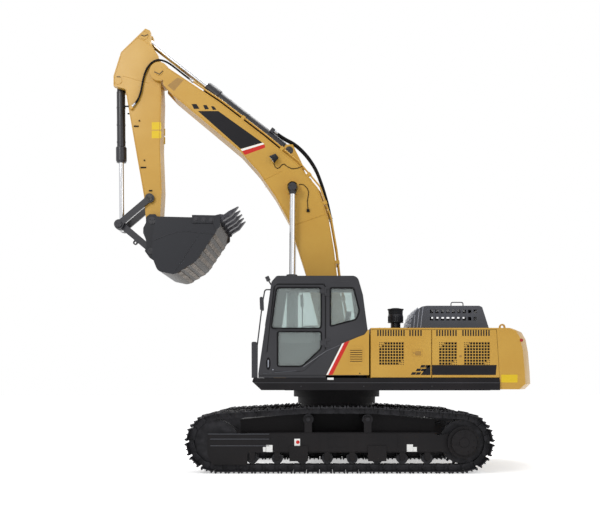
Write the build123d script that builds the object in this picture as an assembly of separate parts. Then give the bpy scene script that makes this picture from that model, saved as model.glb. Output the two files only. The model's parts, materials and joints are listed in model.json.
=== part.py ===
from build123d import *
import os
from math import atan2, degrees, hypot, radians, tan

# Crawler excavator with a one-piece boom, millimetres.
# X points backwards, -Y is the cab side, Z is up. The origin lies on the slew axis, at ground level.

# Clearances
FIT = 0.5                   # between a pin and its bore, and under seated parts
GAP = 8.0                   # between moving parts that pass each other
PIN_STUB = 6.0              # a pin at an open pivot stands this far out of its eye

# Driving dimensions: undercarriage
TRACK_GAUGE = 2590.0        # between the centre lines of the two tracks
SHOE_WIDTH = 600.0
SHOE_COUNT = 50
SHOE_PLATE = 14.0           # thickness of a shoe's plate
GROUSER = 26.0              # height of the bars on a shoe
LINK_HEIGHT = 100.0         # chain height under the shoe plate
LINK_WIDTH = 230.0
WHEEL_Z = 500.0             # height of the idler's and the sprocket's centre
IDLER_X = -1990.0
SPROCKET_X = 2040.0
CARRIER_X = 485.0           # the two carrier rollers stand this far before and behind the slew axis
CARRIER_R = 85.0
CARRIER_Z = 870.0
CARRIER_AXLE_R = 34.0
ROLLER_R = 90.0
ROLLER_COUNT = 8
ROLLER_SPAN = 2860.0        # from the first bottom roller to the last
BEAM_TOP = 650.0
BEAM_WIDTH = 300.0
FORK_PLATE = 45.0           # plates that hold the idler, the sprocket and the carrier rollers
ROLLER_FOOT = 35.0
GUARD_PLATE = 22.0
GUARD_X = 640.0             # the two track guards of a side stand this far before and behind the slew axis

# Driving dimensions: slewing upper structure
RING_R = 765.0
RING_LOWER_R = 690.0
RING_BASE_Z = 1110.0
RING_SPLIT_Z = 1222.0
FRAME_Z = 1335.0            # underside of the main frame
DECK_Z = 1547.0             # top of the side decks
DECK_BASE_Z = 1347.0
DECK_WIDTH = 2980.0
DECK_FRONT_X = -1396.0
FRAME_FRONT_X = -900.0      # front end of the frame between the decks
DECK_REAR_X = 2635.0
DECK_BEVEL = (40.0, 86.0)   # sloped top edge of a deck's skirt: across and down
DECK_WALL = 14.0
HOUSE_Y = 1450.0            # outer face of the side compartments
HOUSE_INNER_Y = 640.0
HOUSE_TOP_Z = 2362.0
HOUSE_FRONT_X = 512.0
HOUSE_REAR_X = 2585.0       # top of the sloped joint between the side doors and the counterweight
HOUSE_SPLIT_X = 1526.0      # between the front and rear compartments of a side
DOOR_PANEL = 40.0
DOOR_PIVOT_R = 14.0         # a side door's rounded hinge edge
DOOR_PIN_R = 8.0
GRILLE_Z = (1757.0, 2132.0)
SLOT_Z = (2229.0, 2327.0)
FRONT_WINDOWS = [(669, 1076)]                       # first and last x of each grille window
FRONT_SLOTS = [(652, 1076, 11), (1174, 1353, 5)]    # first and last x, count
REAR_WINDOWS = [(1646, 1940), (2054, 2477)]
REAR_SLOTS = [(1614, 1923, 8), (2037, 2461, 11)]
SLOT_WIDTH = 16.0
WINDOW_CORNER = 110.0       # two corners of a grille window are cut off by this much
ENGINE_Z = 1500.0           # the engine stands on the frame's two webs here
TAIL_R = 3380.0             # the counterweight's rear face, from the slew axis
COUNTER_EYE = (2785.0, 48.0)    # x, and height over the counterweight's top
COUNTER_EYE_Y = 900.0
COUNTER_EYE_R = 26.0
HOOD_HINGE = (2645.0, 20.0)     # x, and height over the counterweight's top
HOOD_KNUCKLE_Y = 480.0
HOOD_SHEET = 20.0
HOOD_SIDE = [               # (x, height over the house top) of the hood's outline
    (1245, FIT), (1262, 110), (1300, 230), (1360, 350), (1450, 412), (1540, 428), (2440, 428),
    (2490, 405), (2619, FIT),
]
HOOD_HOLES = (1620.0, 2370.0, 9)            # first and last x, count
HOOD_HOLE_ROWS = [(175, 235), (300, 360)]   # low and high edge, over the house top
HOOD_HOLE_WIDTH = 56.0
HOOD_RAIL = (1990.0, 2200.0, 508.0)         # ends of the rail on the hood, and its height over the house top
HOOD_RAIL_Y = 420.0
LID_HINGE = (-716.0, 1970.0)
LID_KNUCKLE_R = 10.0
HINGE_R = 16.0
CLEANER = (1085.0, 330.0)   # the pre-cleaner's x and y

# Driving dimensions: cab
CAB_OUTER_Y = 1420.0
CAB_INNER_Y = 520.0
CAB_FLOOR_Z = 1586.0
CAB_ROOF_Z = 3216.0
CAB_WALL = 50.0
GLASS = 8.0
CAB_HINGE = (-205.0, -CAB_OUTER_Y - 16)
CAB_HINGE_Z = (2120.0, 2960.0)
MIRROR_Y = 1300.0
STAY_R = 11.0
LAMP_STEM_R = 12.0
TANK_RAIL_X = (-640.0, 300.0)
TANK_RAIL_RISE = 198.0      # over the house top
TANK_RAIL_R = 16.0

# Driving dimensions: arm
BOOM_WIDTH = 560.0
STICK_WIDTH = 400.0
BUCKET_WIDTH = 1590.0
BOOM_PLATE = 14.0
BOOM_CYLINDER_Y = 410.0
BOOM_EYE_HALF = 50.0        # half the width of the boom cylinders' eyes
BOOM_CYLINDER_PIN_R = 50.0
BOOM_FOOT_R = 55.0
BOOM_TIP_R = 50.0
STICK_PIN_R = 45.0          # the two pins of the stick cylinder
BUCKET_PIN_R = 45.0
LINK_ROD_PIN_R = 45.0
LINK_PIN_R = 40.0           # the linkage's other pins
PIPE_R = 15.0
PIPE_RISE = 50.0            # from the boom's back to the pipes' centre line
PIPE_INNER_Y = 110.0
PIPE_OUTER_Y = 232.0
LINE_GAP = 3.0              # between a pipe's end and its hose
HOSE_R = 22.0
TIP_HOSE_R = 17.0
STICK_LEAD = (-3520.0, 6430.0)  # the tip hoses run straight from here
STICK_PORT = (-3610.0, 6345.0)  # to their port on the stick
PORT = (430.0, 500.0)       # hose ports of the stick cylinder: first and last, from its base pin,
PORT_RISE = 118.0           # the hose's height over the cylinder's axis,
PORT_Y = 60.0               # and its distance to each side
PORT_TOP = PORT_RISE + HOSE_R + 6
BOOM_FOOT = (50.0, 1930.0)
BOOM_BASE_PIN = (-800.0, 1470.0)
BOOM_ROD_PIN = (-774.0, 4881.0)
BOOM_TIP = (-3131.0, 6951.0)
STICK_BASE_PIN = (-841.0, 5597.0)
STICK_ROD_PIN = (-3402.0, 7607.0)
BUCKET_BASE_PIN = (-3864.0, 6811.0)
LINK_STICK_PIN = (-3304.0, 4726.0)
BUCKET_PIN = (-3257.0, 4327.0)
LINK_ROD_PIN = (-3845.0, 4267.0)
LINK_BUCKET_PIN = (-3276.0, 3788.0)
H_LINK_FRONT = 40.0         # the H-link's edges, before and behind the line of its pins
H_LINK_BACK = 75.0
LINK_EYE = (373.7, -67.0)   # lifting eye of the H-link: along the line of its pins, and beside it
LINK_EYE_R = 18.0
SIDE_LINK_WIDTH = 110.0
EAR_PLATE = 45.0            # thickness of the bucket's ears and the side links
BUCKET_PLATE = 30.0
CUTTER_PLATE = 22.0         # side cutters stand this far out of the bucket's sides
TOOTH_COUNT = 5

CUTTER_SIDE = [
    (-2471, 4185), (-2471, 4322), (-2010, 4314), (-1990, 4260), (-1990, 4120), (-2060, 4060), (-2110, 4185),
]
BUCKET_EAR = [
    (-3070, 4290), (-3200, 4440), (-3300, 4440), (-3365, 4385), (-3365, 4290), (-3412, 4200), (-3415, 4110),
    (-3370, 4000), (-3352, 3900), (-3385, 3788), (-3300, 3670), (-3140, 3560), (-3130, 3950),
]
BUCKET_SIDE = [             # (x, z, corner radius)
    (-3085, 4300, 20), (-3150, 3950, 60), (-3150, 3600, 150), (-3060, 3370, 120), (-2774, 3308, 150),
    (-2400, 3540, 120), (-2050, 4060, 60), (-2005, 4274, 10),
]
BUCKET_HOLLOW = [
    (-3055, 4330, 10), (-3120, 3940, 60), (-3120, 3610, 130), (-3040, 3405, 100), (-2780, 3340, 120),
    (-2425, 3565, 100), (-2085, 4075, 50), (-2040, 4330, 10),
]
TOOTH_SIDE = [(-1984.5, 4215), (-1984.5, 4305), (-1850, 4400), (-1690, 4480), (-1800, 4330)]
TOOTH_INSET = 88.0          # from the bucket's side to its first tooth's middle
TOOTH_WIDTH = 110.0
BOOM_BACK = [               # the boom's upper edge, from its foot to its tip
    (150, 2540), (2, 3372), (-49, 3804), (-144, 4349), (-339, 4904), (-700, 5330), (-1281, 5810),
    (-2064, 6409), (-3041, 7060),
]
BOOM_BELLY = [              # its foot and lower edge, up to the tip
    (165, 2100), (165, 1800), (-60, 1800), (-90, 1980), (-336, 2529), (-545, 3382), (-697, 3868),
    (-857, 4334), (-1089, 4758), (-1383, 5185), (-1711, 5550), (-2887, 6531), (-3060, 6720),
]
BOOM_HOLLOW = [
    (-2560, 6715), (-2064, 6385), (-1281, 5787), (-712, 5315), (-355, 4895), (-162, 4343), (-67, 3800),
    (-16, 3370), (90, 2480), (-308, 2490), (-527, 3386), (-679, 3874), (-840, 4342), (-1074, 4768),
    (-1370, 5196), (-1699, 5564), (-2560, 6280),
]
STICK_SIDE = [
    (-3386, 7735), (-3817, 7317), (-3950, 6900), (-3950, 6720), (-3738, 6666), (-3676, 6286), (-3412, 4784),
    (-3363, 4200), (-3170, 4200), (-3122, 4424), (-3097, 4873), (-3125, 5633), (-3104, 6481), (-3128, 7181),
    (-3291, 7479), (-3305, 7700),
]
STICK_HOLLOW = [
    (-3690, 7000), (-3640, 6500), (-3398, 4930), (-3115, 4930), (-3141, 5633), (-3125, 6400), (-3300, 6620),
    (-3300, 7000),
]
STICK_HOSE_ROUTE = [        # (x, y, z) between the boom's pipes and the stick cylinder
    (-140, 110, 4585), (-200, 110, 4810), (-274, 110, 5040), (-370, 100, 5290), (-530, 85, 5530),
    (-735, 65, 5730),
]
TIP_HOSE_ROUTE = [          # (x, z) over the boom's tip
    (-2700, 6905), (-2860, 7035), (-3015, 7145), (-3190, 7180), (-3345, 7050), (-3420, 6830), (-3455, 6600),
]

DOOR_PIN_SPANS = [          # low and high end of a side door's two pivot pins
    (DECK_Z - 10, DECK_Z + 18), (HOUSE_TOP_Z - 42, HOUSE_TOP_Z - 12),
]
TRACK_Y = TRACK_GAUGE / 2
WHEEL_R = WHEEL_Z - SHOE_PLATE - GROUSER - LINK_HEIGHT - FIT
ROLLER_X = [-ROLLER_SPAN / 2 + 30 + i * ROLLER_SPAN / (ROLLER_COUNT - 1) for i in range(ROLLER_COUNT)]


# Shapes that many pieces share

def slab(points, y0, y1, radius=0.0):
    """A side outline of (x, z) points, extruded from y0 to y1, with rounded corners."""
    corners = [(x, y0, z) for x, z in points]
    if radius:
        line = FilletPolyline(*corners, radius=radius, close=True)
    else:
        line = Polyline(*corners, close=True)
    return extrude(make_face(line), y1 - y0, dir=(0, 1, 0))


def rounded_slab(corners, y0, y1):
    """As slab, from (x, z, radius) corners."""
    points = [(x, y0, z) for x, z, _ in corners]
    line = FilletPolyline(*points, radius=[r for _, _, r in corners], close=True)
    return extrude(make_face(line), y1 - y0, dir=(0, 1, 0))


def block(x0, x1, y0, y1, z0, z1):
    """A box between its corner coordinates."""
    return Pos((x0 + x1) / 2, (y0 + y1) / 2, (z0 + z1) / 2) * Box(abs(x1 - x0), abs(y1 - y0), z1 - z0)


def x_slab(points, x0, x1):
    """A cross section of (y, z) points, extruded from x0 to x1."""
    line = Polyline(*[(x0, y, z) for y, z in points], close=True)
    return extrude(make_face(line), x1 - x0, dir=(1, 0, 0))


def disc(centre, radius, y0, y1):
    """A round solid along Y, from y0 to y1, about an (x, z) centre."""
    return Pos(centre[0], (y0 + y1) / 2, centre[1]) * Rot(90, 0, 0) * Cylinder(radius, abs(y1 - y0))


def post(x, y, radius, z0, z1):
    """A round upright from z0 to z1."""
    return Pos(x, y, (z0 + z1) / 2) * Cylinder(radius, z1 - z0)


def distance(a, b):
    """Between two (x, z) points."""
    return hypot(b[0] - a[0], b[1] - a[1])


def beside(start, end, run, offset):
    """The (x, z) point at a run from start, towards end, and an offset to the left of that line."""
    length = distance(start, end)
    ux, uz = (end[0] - start[0]) / length, (end[1] - start[1]) / length
    return (start[0] + run * ux - offset * uz, start[1] + run * uz + offset * ux)


def along(start, end, run):
    """The (x, z) point at a run from start, towards end."""
    return beside(start, end, run, 0.0)


def bar_outline(start, end, low, high):
    """The four (x, z) corners of a bar between two points, from low to high beside their line."""
    length = distance(start, end)
    corners = ((0, low), (length, low), (length, high), (0, high))
    return [beside(start, end, run, offset) for run, offset in corners]


def outward(sign, inner, outer):
    """The low and high y of what lies between two distances from the centre plane, on one side."""
    return sorted((sign * inner, sign * outer))


def round_bar(start, end, y, radius):
    """A round bar between two (x, z) points."""
    run = (end[0] - start[0], end[1] - start[1])
    plane = Plane(origin=(start[0], y, start[1]), z_dir=(run[0], 0, run[1]))
    return extrude(plane * Circle(radius), hypot(*run))


def tube(points, radius, bend):
    """A bent round tube through (x, y, z) points, with one bend radius."""
    path = FilletPolyline(*points, radius=bend)
    return sweep(Plane(origin=path @ 0, z_dir=path % 0) * Circle(radius), path=path)


def hose(points, radius):
    """A hose through (x, y, z) points, with each bend as wide as its two runs allow."""
    spots = [Vector(*p) for p in points]
    runs = [b - a for a, b in zip(spots, spots[1:])]
    bends = []
    for before, after in zip(runs, runs[1:]):
        shorter = min(before.length, after.length)
        bends.append(0.45 * shorter / tan(radians(before.get_angle(after)) / 2))
    path = FilletPolyline(*points, radius=bends)
    return sweep(Plane(origin=path @ 0, z_dir=path % 0) * Circle(radius), path=path)


def raised(points, rise):
    """An open (x, z) line moved to its right by rise, with its corners mitred."""
    normals = []
    for (x0, z0), (x1, z1) in zip(points, points[1:]):
        length = hypot(x1 - x0, z1 - z0)
        normals.append(((z1 - z0) / length, (x0 - x1) / length))
    line = []
    for i, (x, z) in enumerate(points):
        a, b = normals[max(i - 1, 0)], normals[min(i, len(normals) - 1)]
        nx, nz = a[0] + b[0], a[1] + b[1]
        share = rise / (nx * b[0] + nz * b[1])
        line.append((x + nx * share, z + nz * share))
    return line


INNER_TOP = raised(BOOM_BACK, PIPE_RISE)[3]     # where the inner pipes end
OUTER_TOP = along(*raised(BOOM_BACK, PIPE_RISE)[7:9], 600)


def both_sides(shape):
    """The shape and its mirror image across the centre plane."""
    return [shape, mirror(shape, about=Plane.XZ)]


NODES = {}


def node(name, *shapes):
    """Keep the solids of one named piece."""
    solids = []
    for shape in shapes:
        for item in shape if isinstance(shape, (list, tuple)) else [shape]:
            solids += item.solids()
    NODES[name] = Compound(children=solids) if len(solids) > 1 else solids[0]


# Undercarriage

def belt_face(offset, y):
    """The loop of the track about its wheels, at a distance outside their rims."""
    wheels = [
        (IDLER_X, WHEEL_Z, WHEEL_R), (SPROCKET_X, WHEEL_Z, WHEEL_R),
        (-CARRIER_X, CARRIER_Z, CARRIER_R), (CARRIER_X, CARRIER_Z, CARRIER_R),
    ]
    rims = [Pos(x, z) * Circle(r + offset) for x, z, r in wheels]
    hull = make_hull([edge for rim in rims for edge in rim.edges()])
    return Plane(origin=(0, y, 0), x_dir=(1, 0, 0), z_dir=(0, -1, 0)) * hull


def track(side):
    """One endless track: a chain band with a grousered shoe on every link."""
    middle = side * TRACK_Y
    shoe_under = FIT + LINK_HEIGHT
    outer = extrude(belt_face(shoe_under, middle), LINK_WIDTH / 2, both=True)
    inner = extrude(belt_face(FIT, middle), LINK_WIDTH, both=True)
    band = extrude(belt_face(shoe_under + SHOE_PLATE, middle), SHOE_WIDTH / 2, both=True)
    hollow = extrude(belt_face(shoe_under, middle), SHOE_WIDTH, both=True)
    loop = (outer - inner) + (band - hollow)
    rim = belt_face(shoe_under + SHOE_PLATE, middle).face().outer_wire()
    bars = []
    for i in range(SHOE_COUNT):
        spot, run = rim @ (i / SHOE_COUNT), rim % (i / SHOE_COUNT)
        plane = Plane(origin=spot, x_dir=run, z_dir=(0, 1, 0))
        bars.append(plane * Box(22, 2 * GROUSER, SHOE_WIDTH))
    return loop + bars


def track_frame(side):
    """The side beam that carries one track's wheels and rollers."""
    middle = side * TRACK_Y
    y0, y1 = middle - BEAM_WIDTH / 2, middle + BEAM_WIDTH / 2
    outline = [(-1560, 345), (-1560, 600), (-1480, BEAM_TOP), (1560, BEAM_TOP), (1640, 600), (1640, 345)]
    idler_fork = [(-2080, 455), (-2080, 545), (-1500, 590), (-1500, 400)]
    sprocket_fork = [(1600, 350), (1600, 600), (2040, 690), (2160, 600), (2160, 400), (2040, 310)]
    beam = slab(outline, y0, y1)
    for fork_y in (y0, y1 - FORK_PLATE):
        beam += slab(idler_fork, fork_y, fork_y + FORK_PLATE)
        beam += slab(sprocket_fork, fork_y, fork_y + FORK_PLATE)
    for x in (-CARRIER_X, CARRIER_X):
        beam += block(x - 60, x + 60, y0, y0 + FORK_PLATE, BEAM_TOP - 10, CARRIER_Z + 40)
        beam -= disc((x, CARRIER_Z), CARRIER_AXLE_R, y0 - 20, y0 + FORK_PLATE + 15)
    for x in ROLLER_X:
        for foot_y in (y0, y1 - ROLLER_FOOT):
            beam += block(x - 45, x + 45, foot_y, foot_y + ROLLER_FOOT, 215, 350)
    for x in (-GUARD_X, GUARD_X):
        for guard_y in (y0 - GUARD_PLATE, y1):
            beam += block(x - 150, x + 150, guard_y, guard_y + GUARD_PLATE, 190, 440)
    return beam


def wheels(side):
    """Idler, sprocket, carrier rollers and bottom rollers of one track."""
    middle = side * TRACK_Y
    hub_half = BEAM_WIDTH / 2 - FORK_PLATE - FIT
    idler_at, sprocket_at = (IDLER_X, WHEEL_Z), (SPROCKET_X, WHEEL_Z)
    idler = disc(idler_at, WHEEL_R, middle - 45, middle + 45)
    idler += disc(idler_at, 120, middle - hub_half, middle + hub_half)
    sprocket = disc(sprocket_at, WHEEL_R, middle - 40, middle + 40)
    sprocket += disc(sprocket_at, 220, middle - hub_half, middle + hub_half)
    carriers, rollers = [], []
    for x in (-CARRIER_X, CARRIER_X):
        carrier = disc((x, CARRIER_Z), CARRIER_R, middle - 100, middle + 100)
        carriers.append(carrier + disc((x, CARRIER_Z), CARRIER_AXLE_R - FIT, middle - 160, middle))
    chain_top = WHEEL_Z - WHEEL_R - FIT
    axle_half = BEAM_WIDTH / 2 - ROLLER_FOOT - FIT
    for x in ROLLER_X:
        spot = (x, chain_top + ROLLER_R + FIT)
        roller = disc(spot, ROLLER_R, middle - 108, middle + 108)
        rollers.append(roller + disc(spot, 32, middle - axle_half, middle + axle_half))
    return idler, sprocket, carriers, rollers


def undercarriage():
    """Both tracks with their frames and wheels, and the carbody with the ring's lower race between them."""
    sides = {"left": -1, "right": 1}
    idlers, sprockets, carriers, rollers, motors = [], [], [], [], []
    for name, side in sides.items():
        node("track_" + name, track(side))
        node("track_frame_" + name, track_frame(side))
        idler, sprocket, carrier_pair, roller_row = wheels(side)
        idlers.append(idler)
        sprockets.append(sprocket)
        carriers += carrier_pair
        rollers += roller_row
        face = side * (TRACK_Y + BEAM_WIDTH / 2)
        motors.append(disc((SPROCKET_X, WHEEL_Z), 262, face, face + side * 70)
                      + disc((SPROCKET_X, WHEEL_Z), 205, face, face + side * 118))
    node("idlers", idlers)
    node("sprockets", sprockets)
    node("track_rollers", carriers, rollers)
    node("travel_drives", motors)

    beam_inner = TRACK_Y - BEAM_WIDTH / 2
    hub = post(0, 0, 640, 560, RING_BASE_Z)
    plate_side = [(-900, 560), (-900, 640), (-700, 1040), (700, 1040), (900, 640), (900, 560)]
    plate = slab(plate_side, -640, 640)
    legs = []
    for x in (-1150, 1150):
        for side in (-1, 1):
            foot = [(x - 210, side * beam_inner), (x + 210, side * beam_inner)]
            root = [(0.35 * x + 230, side * 330), (0.35 * x - 230, side * 330)]
            low = make_face(Polyline(*[(px, py, 400) for px, py in foot + root], close=True))
            legs.append(extrude(low, 230, dir=(0, 0, 1)))
    body = hub + plate + legs
    body -= post(0, 0, 260, 700, RING_BASE_Z + 1)
    node("carbody", body)
    ring = post(0, 0, RING_LOWER_R, RING_BASE_Z, RING_SPLIT_Z)
    node("slew_ring_lower", ring - post(0, 0, 480, RING_BASE_Z - 1, RING_SPLIT_Z + 1))


# Upper structure

def upper_frame():
    """The ring's upper race, the frame with its boom and cylinder brackets, their pins, and the two decks."""
    ring = post(0, 0, RING_R, RING_SPLIT_Z + FIT, FRAME_Z)
    node("slew_ring_upper", ring - post(0, 0, 500, RING_SPLIT_Z, FRAME_Z + 1))
    base_top = FRAME_Z + 30
    low = base_top - 5      # the webs are sunk this far into the base plate
    web_inner = BOOM_WIDTH / 2 + 10
    web_outer = web_inner + 25
    boss_outer = web_outer + 45
    eye_side = BOOM_CYLINDER_Y + BOOM_EYE_HALF + 5
    front, rear = FRAME_FRONT_X, DECK_REAR_X
    frame = block(front, rear, -HOUSE_INNER_Y, HOUSE_INNER_Y, FRAME_Z, base_top)
    frame -= post(0, 0, 480, FRAME_Z - 1, base_top + 1)
    web = [
        (front, low), (front, 1540), (-860, 1590), (-700, 1610), (-160, 2010), (-40, 2075), (150, 2075),
        (300, 1960), (560, ENGINE_Z), (rear, ENGINE_Z), (rear, low),
    ]
    bracket = [(front, low), (front, 1530), (-850, 1590), (-750, 1590), (-680, 1530), (-650, low)]
    for sign in (-1, 1):
        frame += slab(web, *outward(sign, web_inner, web_outer))
        frame += disc(BOOM_FOOT, 135, *outward(sign, web_inner, boss_outer))
        frame += slab(bracket, *outward(sign, eye_side, eye_side + 25))
    frame += block(420, 450, -web_inner, web_inner, low, 1750)
    frame -= disc(BOOM_FOOT, BOOM_FOOT_R + FIT, -boss_outer - 1, boss_outer + 1)
    frame -= disc(BOOM_BASE_PIN, BOOM_CYLINDER_PIN_R + FIT, -520, 520)
    node("main_frame", frame)
    pins = [disc(BOOM_FOOT, BOOM_FOOT_R, -boss_outer, boss_outer)]
    for sign in (-1, 1):
        pins.append(disc(BOOM_BASE_PIN, BOOM_CYLINDER_PIN_R, *outward(sign, web_inner, eye_side + 31)))
    node("frame_pins", pins)

    decks = []
    wall = DECK_WALL
    across, down = DECK_BEVEL
    nose = DECK_FRONT_X
    outline = [
        (nose, DECK_Z - 60), (nose + 20, DECK_Z), (rear, DECK_Z), (rear, DECK_BASE_Z),
        (nose + 150, DECK_BASE_Z),
    ]
    inner = [
        (nose + 30, DECK_Z - 60), (nose + 38, DECK_Z - wall), (rear - wall, DECK_Z - wall),
        (rear - wall, DECK_BASE_Z - 1), (nose + 165, DECK_BASE_Z - 1),
    ]
    for sign in (-1, 1):
        y0, y1 = outward(sign, HOUSE_INNER_Y + FIT, DECK_WIDTH / 2)
        tray = slab(outline, y0, y1) - slab(inner, y0 + wall, y1 - wall)
        edge = sign * DECK_WIDTH / 2
        corner = [(edge - sign * across, DECK_Z + 1), (edge + sign, DECK_Z + 1), (edge + sign, DECK_Z - down)]
        slope = [
            (edge - sign * across, DECK_Z), (edge, DECK_Z - down), (edge - sign * wall, DECK_Z - down),
            (edge - sign * (across + wall), DECK_Z - wall),
        ]
        tray -= x_slab(corner, nose - 1, rear + 1)
        decks.append(tray + x_slab(slope, nose + 38, rear))
    node("side_decks", decks)


def counterweight():
    """A cast block with its rear face on an arc about the slew axis, and two lifting eyes on top."""
    top = HOUSE_TOP_Z
    base = FRAME_Z + 25
    inner_r = TAIL_R - 1200
    set_back = [  # (height, distance inside TAIL_R) of the rear face, from the bottom up
        (base, 90), (base + 90, 0), (1660, 10), (top - 370, 37), (top - 160, 77), (top - 45, 140), (top, 235),
    ]
    profile = [(inner_r, base)] + [(TAIL_R - inset, z) for z, inset in set_back] + [(inner_r, top)]
    face = make_face(Polyline(*[(r, 0, z) for r, z in profile], close=True))
    half_turn = 40
    turned = Rot(0, 0, -half_turn) * revolve(face, Axis.Z, 2 * half_turn)
    seat = [(DECK_REAR_X + FIT, base - 60), (DECK_REAR_X + FIT, DECK_Z), (HOUSE_REAR_X + FIT, top),
            (HOUSE_REAR_X + FIT, top + 100), (TAIL_R + 100, top + 100), (TAIL_R + 100, base - 60)]
    body = turned & slab(seat, -HOUSE_Y, HOUSE_Y)
    x, z = COUNTER_EYE[0], top + COUNTER_EYE[1]
    ear = [(x - 75, top - 5), (x - 52, z), (x + 52, z), (x + 75, top - 5)]
    for sign in (-1, 1):
        y0, y1 = outward(sign, COUNTER_EYE_Y - 20, COUNTER_EYE_Y + 20)
        body += slab(ear, y0, y1) + disc((x, z), 52, y0, y1) - disc((x, z), COUNTER_EYE_R, y0 - 1, y1 + 1)
    # the fixed knuckles of the hood's hinge
    axis_x, axis_z = HOOD_HINGE[0], top + HOOD_HINGE[1]
    for y in (-HOOD_KNUCKLE_Y, HOOD_KNUCKLE_Y):
        body += disc((axis_x, axis_z), HINGE_R, y - 30, y + 30)
        body += block(axis_x - HINGE_R, axis_x + HINGE_R, y - 30, y + 30, top - 5, axis_z)
    node("counterweight", body)


def side_door(sign, x0, x1):
    """A side door: front edge rounded about two pivot pins, rear edge from x1[0] low to x1[1] high."""
    low, high = DECK_Z + 8, HOUSE_TOP_Z - 32
    x, y = x0 + DOOR_PIVOT_R, sign * (HOUSE_Y - DOOR_PIVOT_R)
    outline = [(x, low), (x1[0], low), (x1[1], high), (x, high)]
    panel = slab(outline, *outward(sign, HOUSE_Y - DOOR_PANEL, HOUSE_Y))
    # behind the hinge edge the panel is no thicker than that edge
    thinned = outward(sign, HOUSE_Y - DOOR_PANEL - 1, HOUSE_Y - 2 * DOOR_PIVOT_R)
    panel -= block(x - 1, x + 26, *thinned, low - 1, high + 1)
    panel += post(x, y, DOOR_PIVOT_R, low, high)
    for z0, z1 in DOOR_PIN_SPANS:
        panel += post(x, y, DOOR_PIN_R, z0, z1)
    return panel


def grille_cuts(sign, windows, slots):
    """Window openings with two cut corners, and rows of upright slots, through a side panel."""
    y0, y1 = outward(sign, HOUSE_Y - DOOR_PANEL - 1, HOUSE_Y + 1)
    low, high = GRILLE_Z
    corner = WINDOW_CORNER
    cuts = []
    for a, b in windows:
        outline = [
            (a, low), (b - corner, low), (b, low + corner), (b, high), (a + corner, high), (a, high - corner),
        ]
        cuts.append(slab(outline, y0, y1))
    for first, last, count in slots:
        for i in range(count):
            x = first + i * (last - first) / (count - 1)
            cuts.append(block(x - SLOT_WIDTH / 2, x + SLOT_WIDTH / 2, y0, y1, *SLOT_Z))
    return cuts


def side_compartments():
    """Fixed frames of the side compartments, and their doors."""
    front, split, rear = HOUSE_FRONT_X + 20, HOUSE_SPLIT_X, HOUSE_REAR_X
    frames = []
    for sign in (-1, 1):
        frame = block(front, rear, *outward(sign, HOUSE_INNER_Y, HOUSE_Y), HOUSE_TOP_Z - 26, HOUSE_TOP_Z)
        wall = outward(sign, HOUSE_INNER_Y, HOUSE_Y - DOOR_PANEL - FIT)
        for x in (front, split - 20, rear - 30):
            frame += block(x, x + 30, *wall, DECK_Z + FIT, HOUSE_TOP_Z - 20)
        inner_wall = outward(sign, HOUSE_INNER_Y, HOUSE_INNER_Y + 20)
        frames.append(frame + block(front, rear, *inner_wall, DECK_Z + FIT, HOUSE_TOP_Z - 20))
    fixed = block(front, split - 6, HOUSE_Y - DOOR_PANEL - 8, HOUSE_Y, DECK_Z + 8, HOUSE_TOP_Z - 20)
    for cut in grille_cuts(1, FRONT_WINDOWS, FRONT_SLOTS):
        fixed -= cut
    frames[1] += fixed

    rear_edge = (DECK_REAR_X - 4, rear - 4)
    panels = [  # name, side, front edge, rear edge low and high, windows, slots
        ("left_front_door", -1, front + 2, (split - 6, split - 6), FRONT_WINDOWS, FRONT_SLOTS),
        ("left_rear_door", -1, split + 6, rear_edge, REAR_WINDOWS, REAR_SLOTS),
        ("right_pump_door", 1, split + 6, rear_edge, REAR_WINDOWS, REAR_SLOTS),
    ]
    for name, sign, x0, x1, windows, slots in panels:
        door = side_door(sign, x0, x1)
        for cut in grille_cuts(sign, windows, slots):
            door -= cut
        node(name, door)
        for z0, z1 in DOOR_PIN_SPANS:
            bore = post(x0 + DOOR_PIVOT_R, sign * (HOUSE_Y - DOOR_PIVOT_R), DOOR_PIN_R + FIT, z0 - 1, z1 + 1)
            frames[(sign + 1) // 2] -= bore
            NODES["side_decks"] -= bore
    node("side_decks", NODES["side_decks"])
    node("house_frames", frames)


def machinery():
    """What stands on the frame and the decks inside the house, and the two tanks."""
    tank_side = HOUSE_Y - 10
    floor = DECK_Z + FIT
    boxes = [  # name, x0, x1, y0, y1, z0, z1
        ("engine_block", 1000, 2350, -420, 420, ENGINE_Z + FIT, HOUSE_TOP_Z - 122),
        ("radiator_pack", 1620, 2480, -1290, -1000, floor, HOUSE_TOP_Z - 62),
        ("battery_box", 620, 1180, -1330, -800, floor, 1980),
        ("hydraulic_pump", 1700, 2300, 700, 1150, floor, 1990),
        ("hydraulic_tank", -60, 520, 700, tank_side, floor, HOUSE_TOP_Z),
        ("fuel_tank", -700, -68, 640, tank_side, floor, HOUSE_TOP_Z - 40),
    ]
    for name, *corners in boxes:
        node(name, block(*corners))


def tool_box():
    """The step and tool box before the fuel tank, with its hinged lid."""
    hinge_x, hinge_z = LID_HINGE
    x0, x1, y0, y1 = -1330, hinge_x - 14, 800, HOUSE_Y - 10
    top, sheet = hinge_z - 10, 20
    box = block(x0, x1, y0, y1, DECK_Z + FIT, top)
    box -= block(x0 + sheet, x1 - sheet, y0 + sheet, y1 - sheet, DECK_Z + sheet, top + 1)
    lid = block(x0, hinge_x - 12, y0, y1, top + FIT, top + sheet)
    for y in (y0 + 120, y1 - 120):
        box += disc(LID_HINGE, LID_KNUCKLE_R, y - 60, y - FIT)
        box += block(x1 - 5, hinge_x, y - 60, y - FIT, top - 30, hinge_z - 2)
        lid -= block(x1 - 10, hinge_x, y - 61, y, top, top + sheet + 1)
        lid += disc(LID_HINGE, LID_KNUCKLE_R, y, y + 60)
        lid += block(x1 - 5, hinge_x, y, y + 60, top + 4, top + 16)
    node("tool_box", box)
    node("tool_box_lid", lid)


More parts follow.
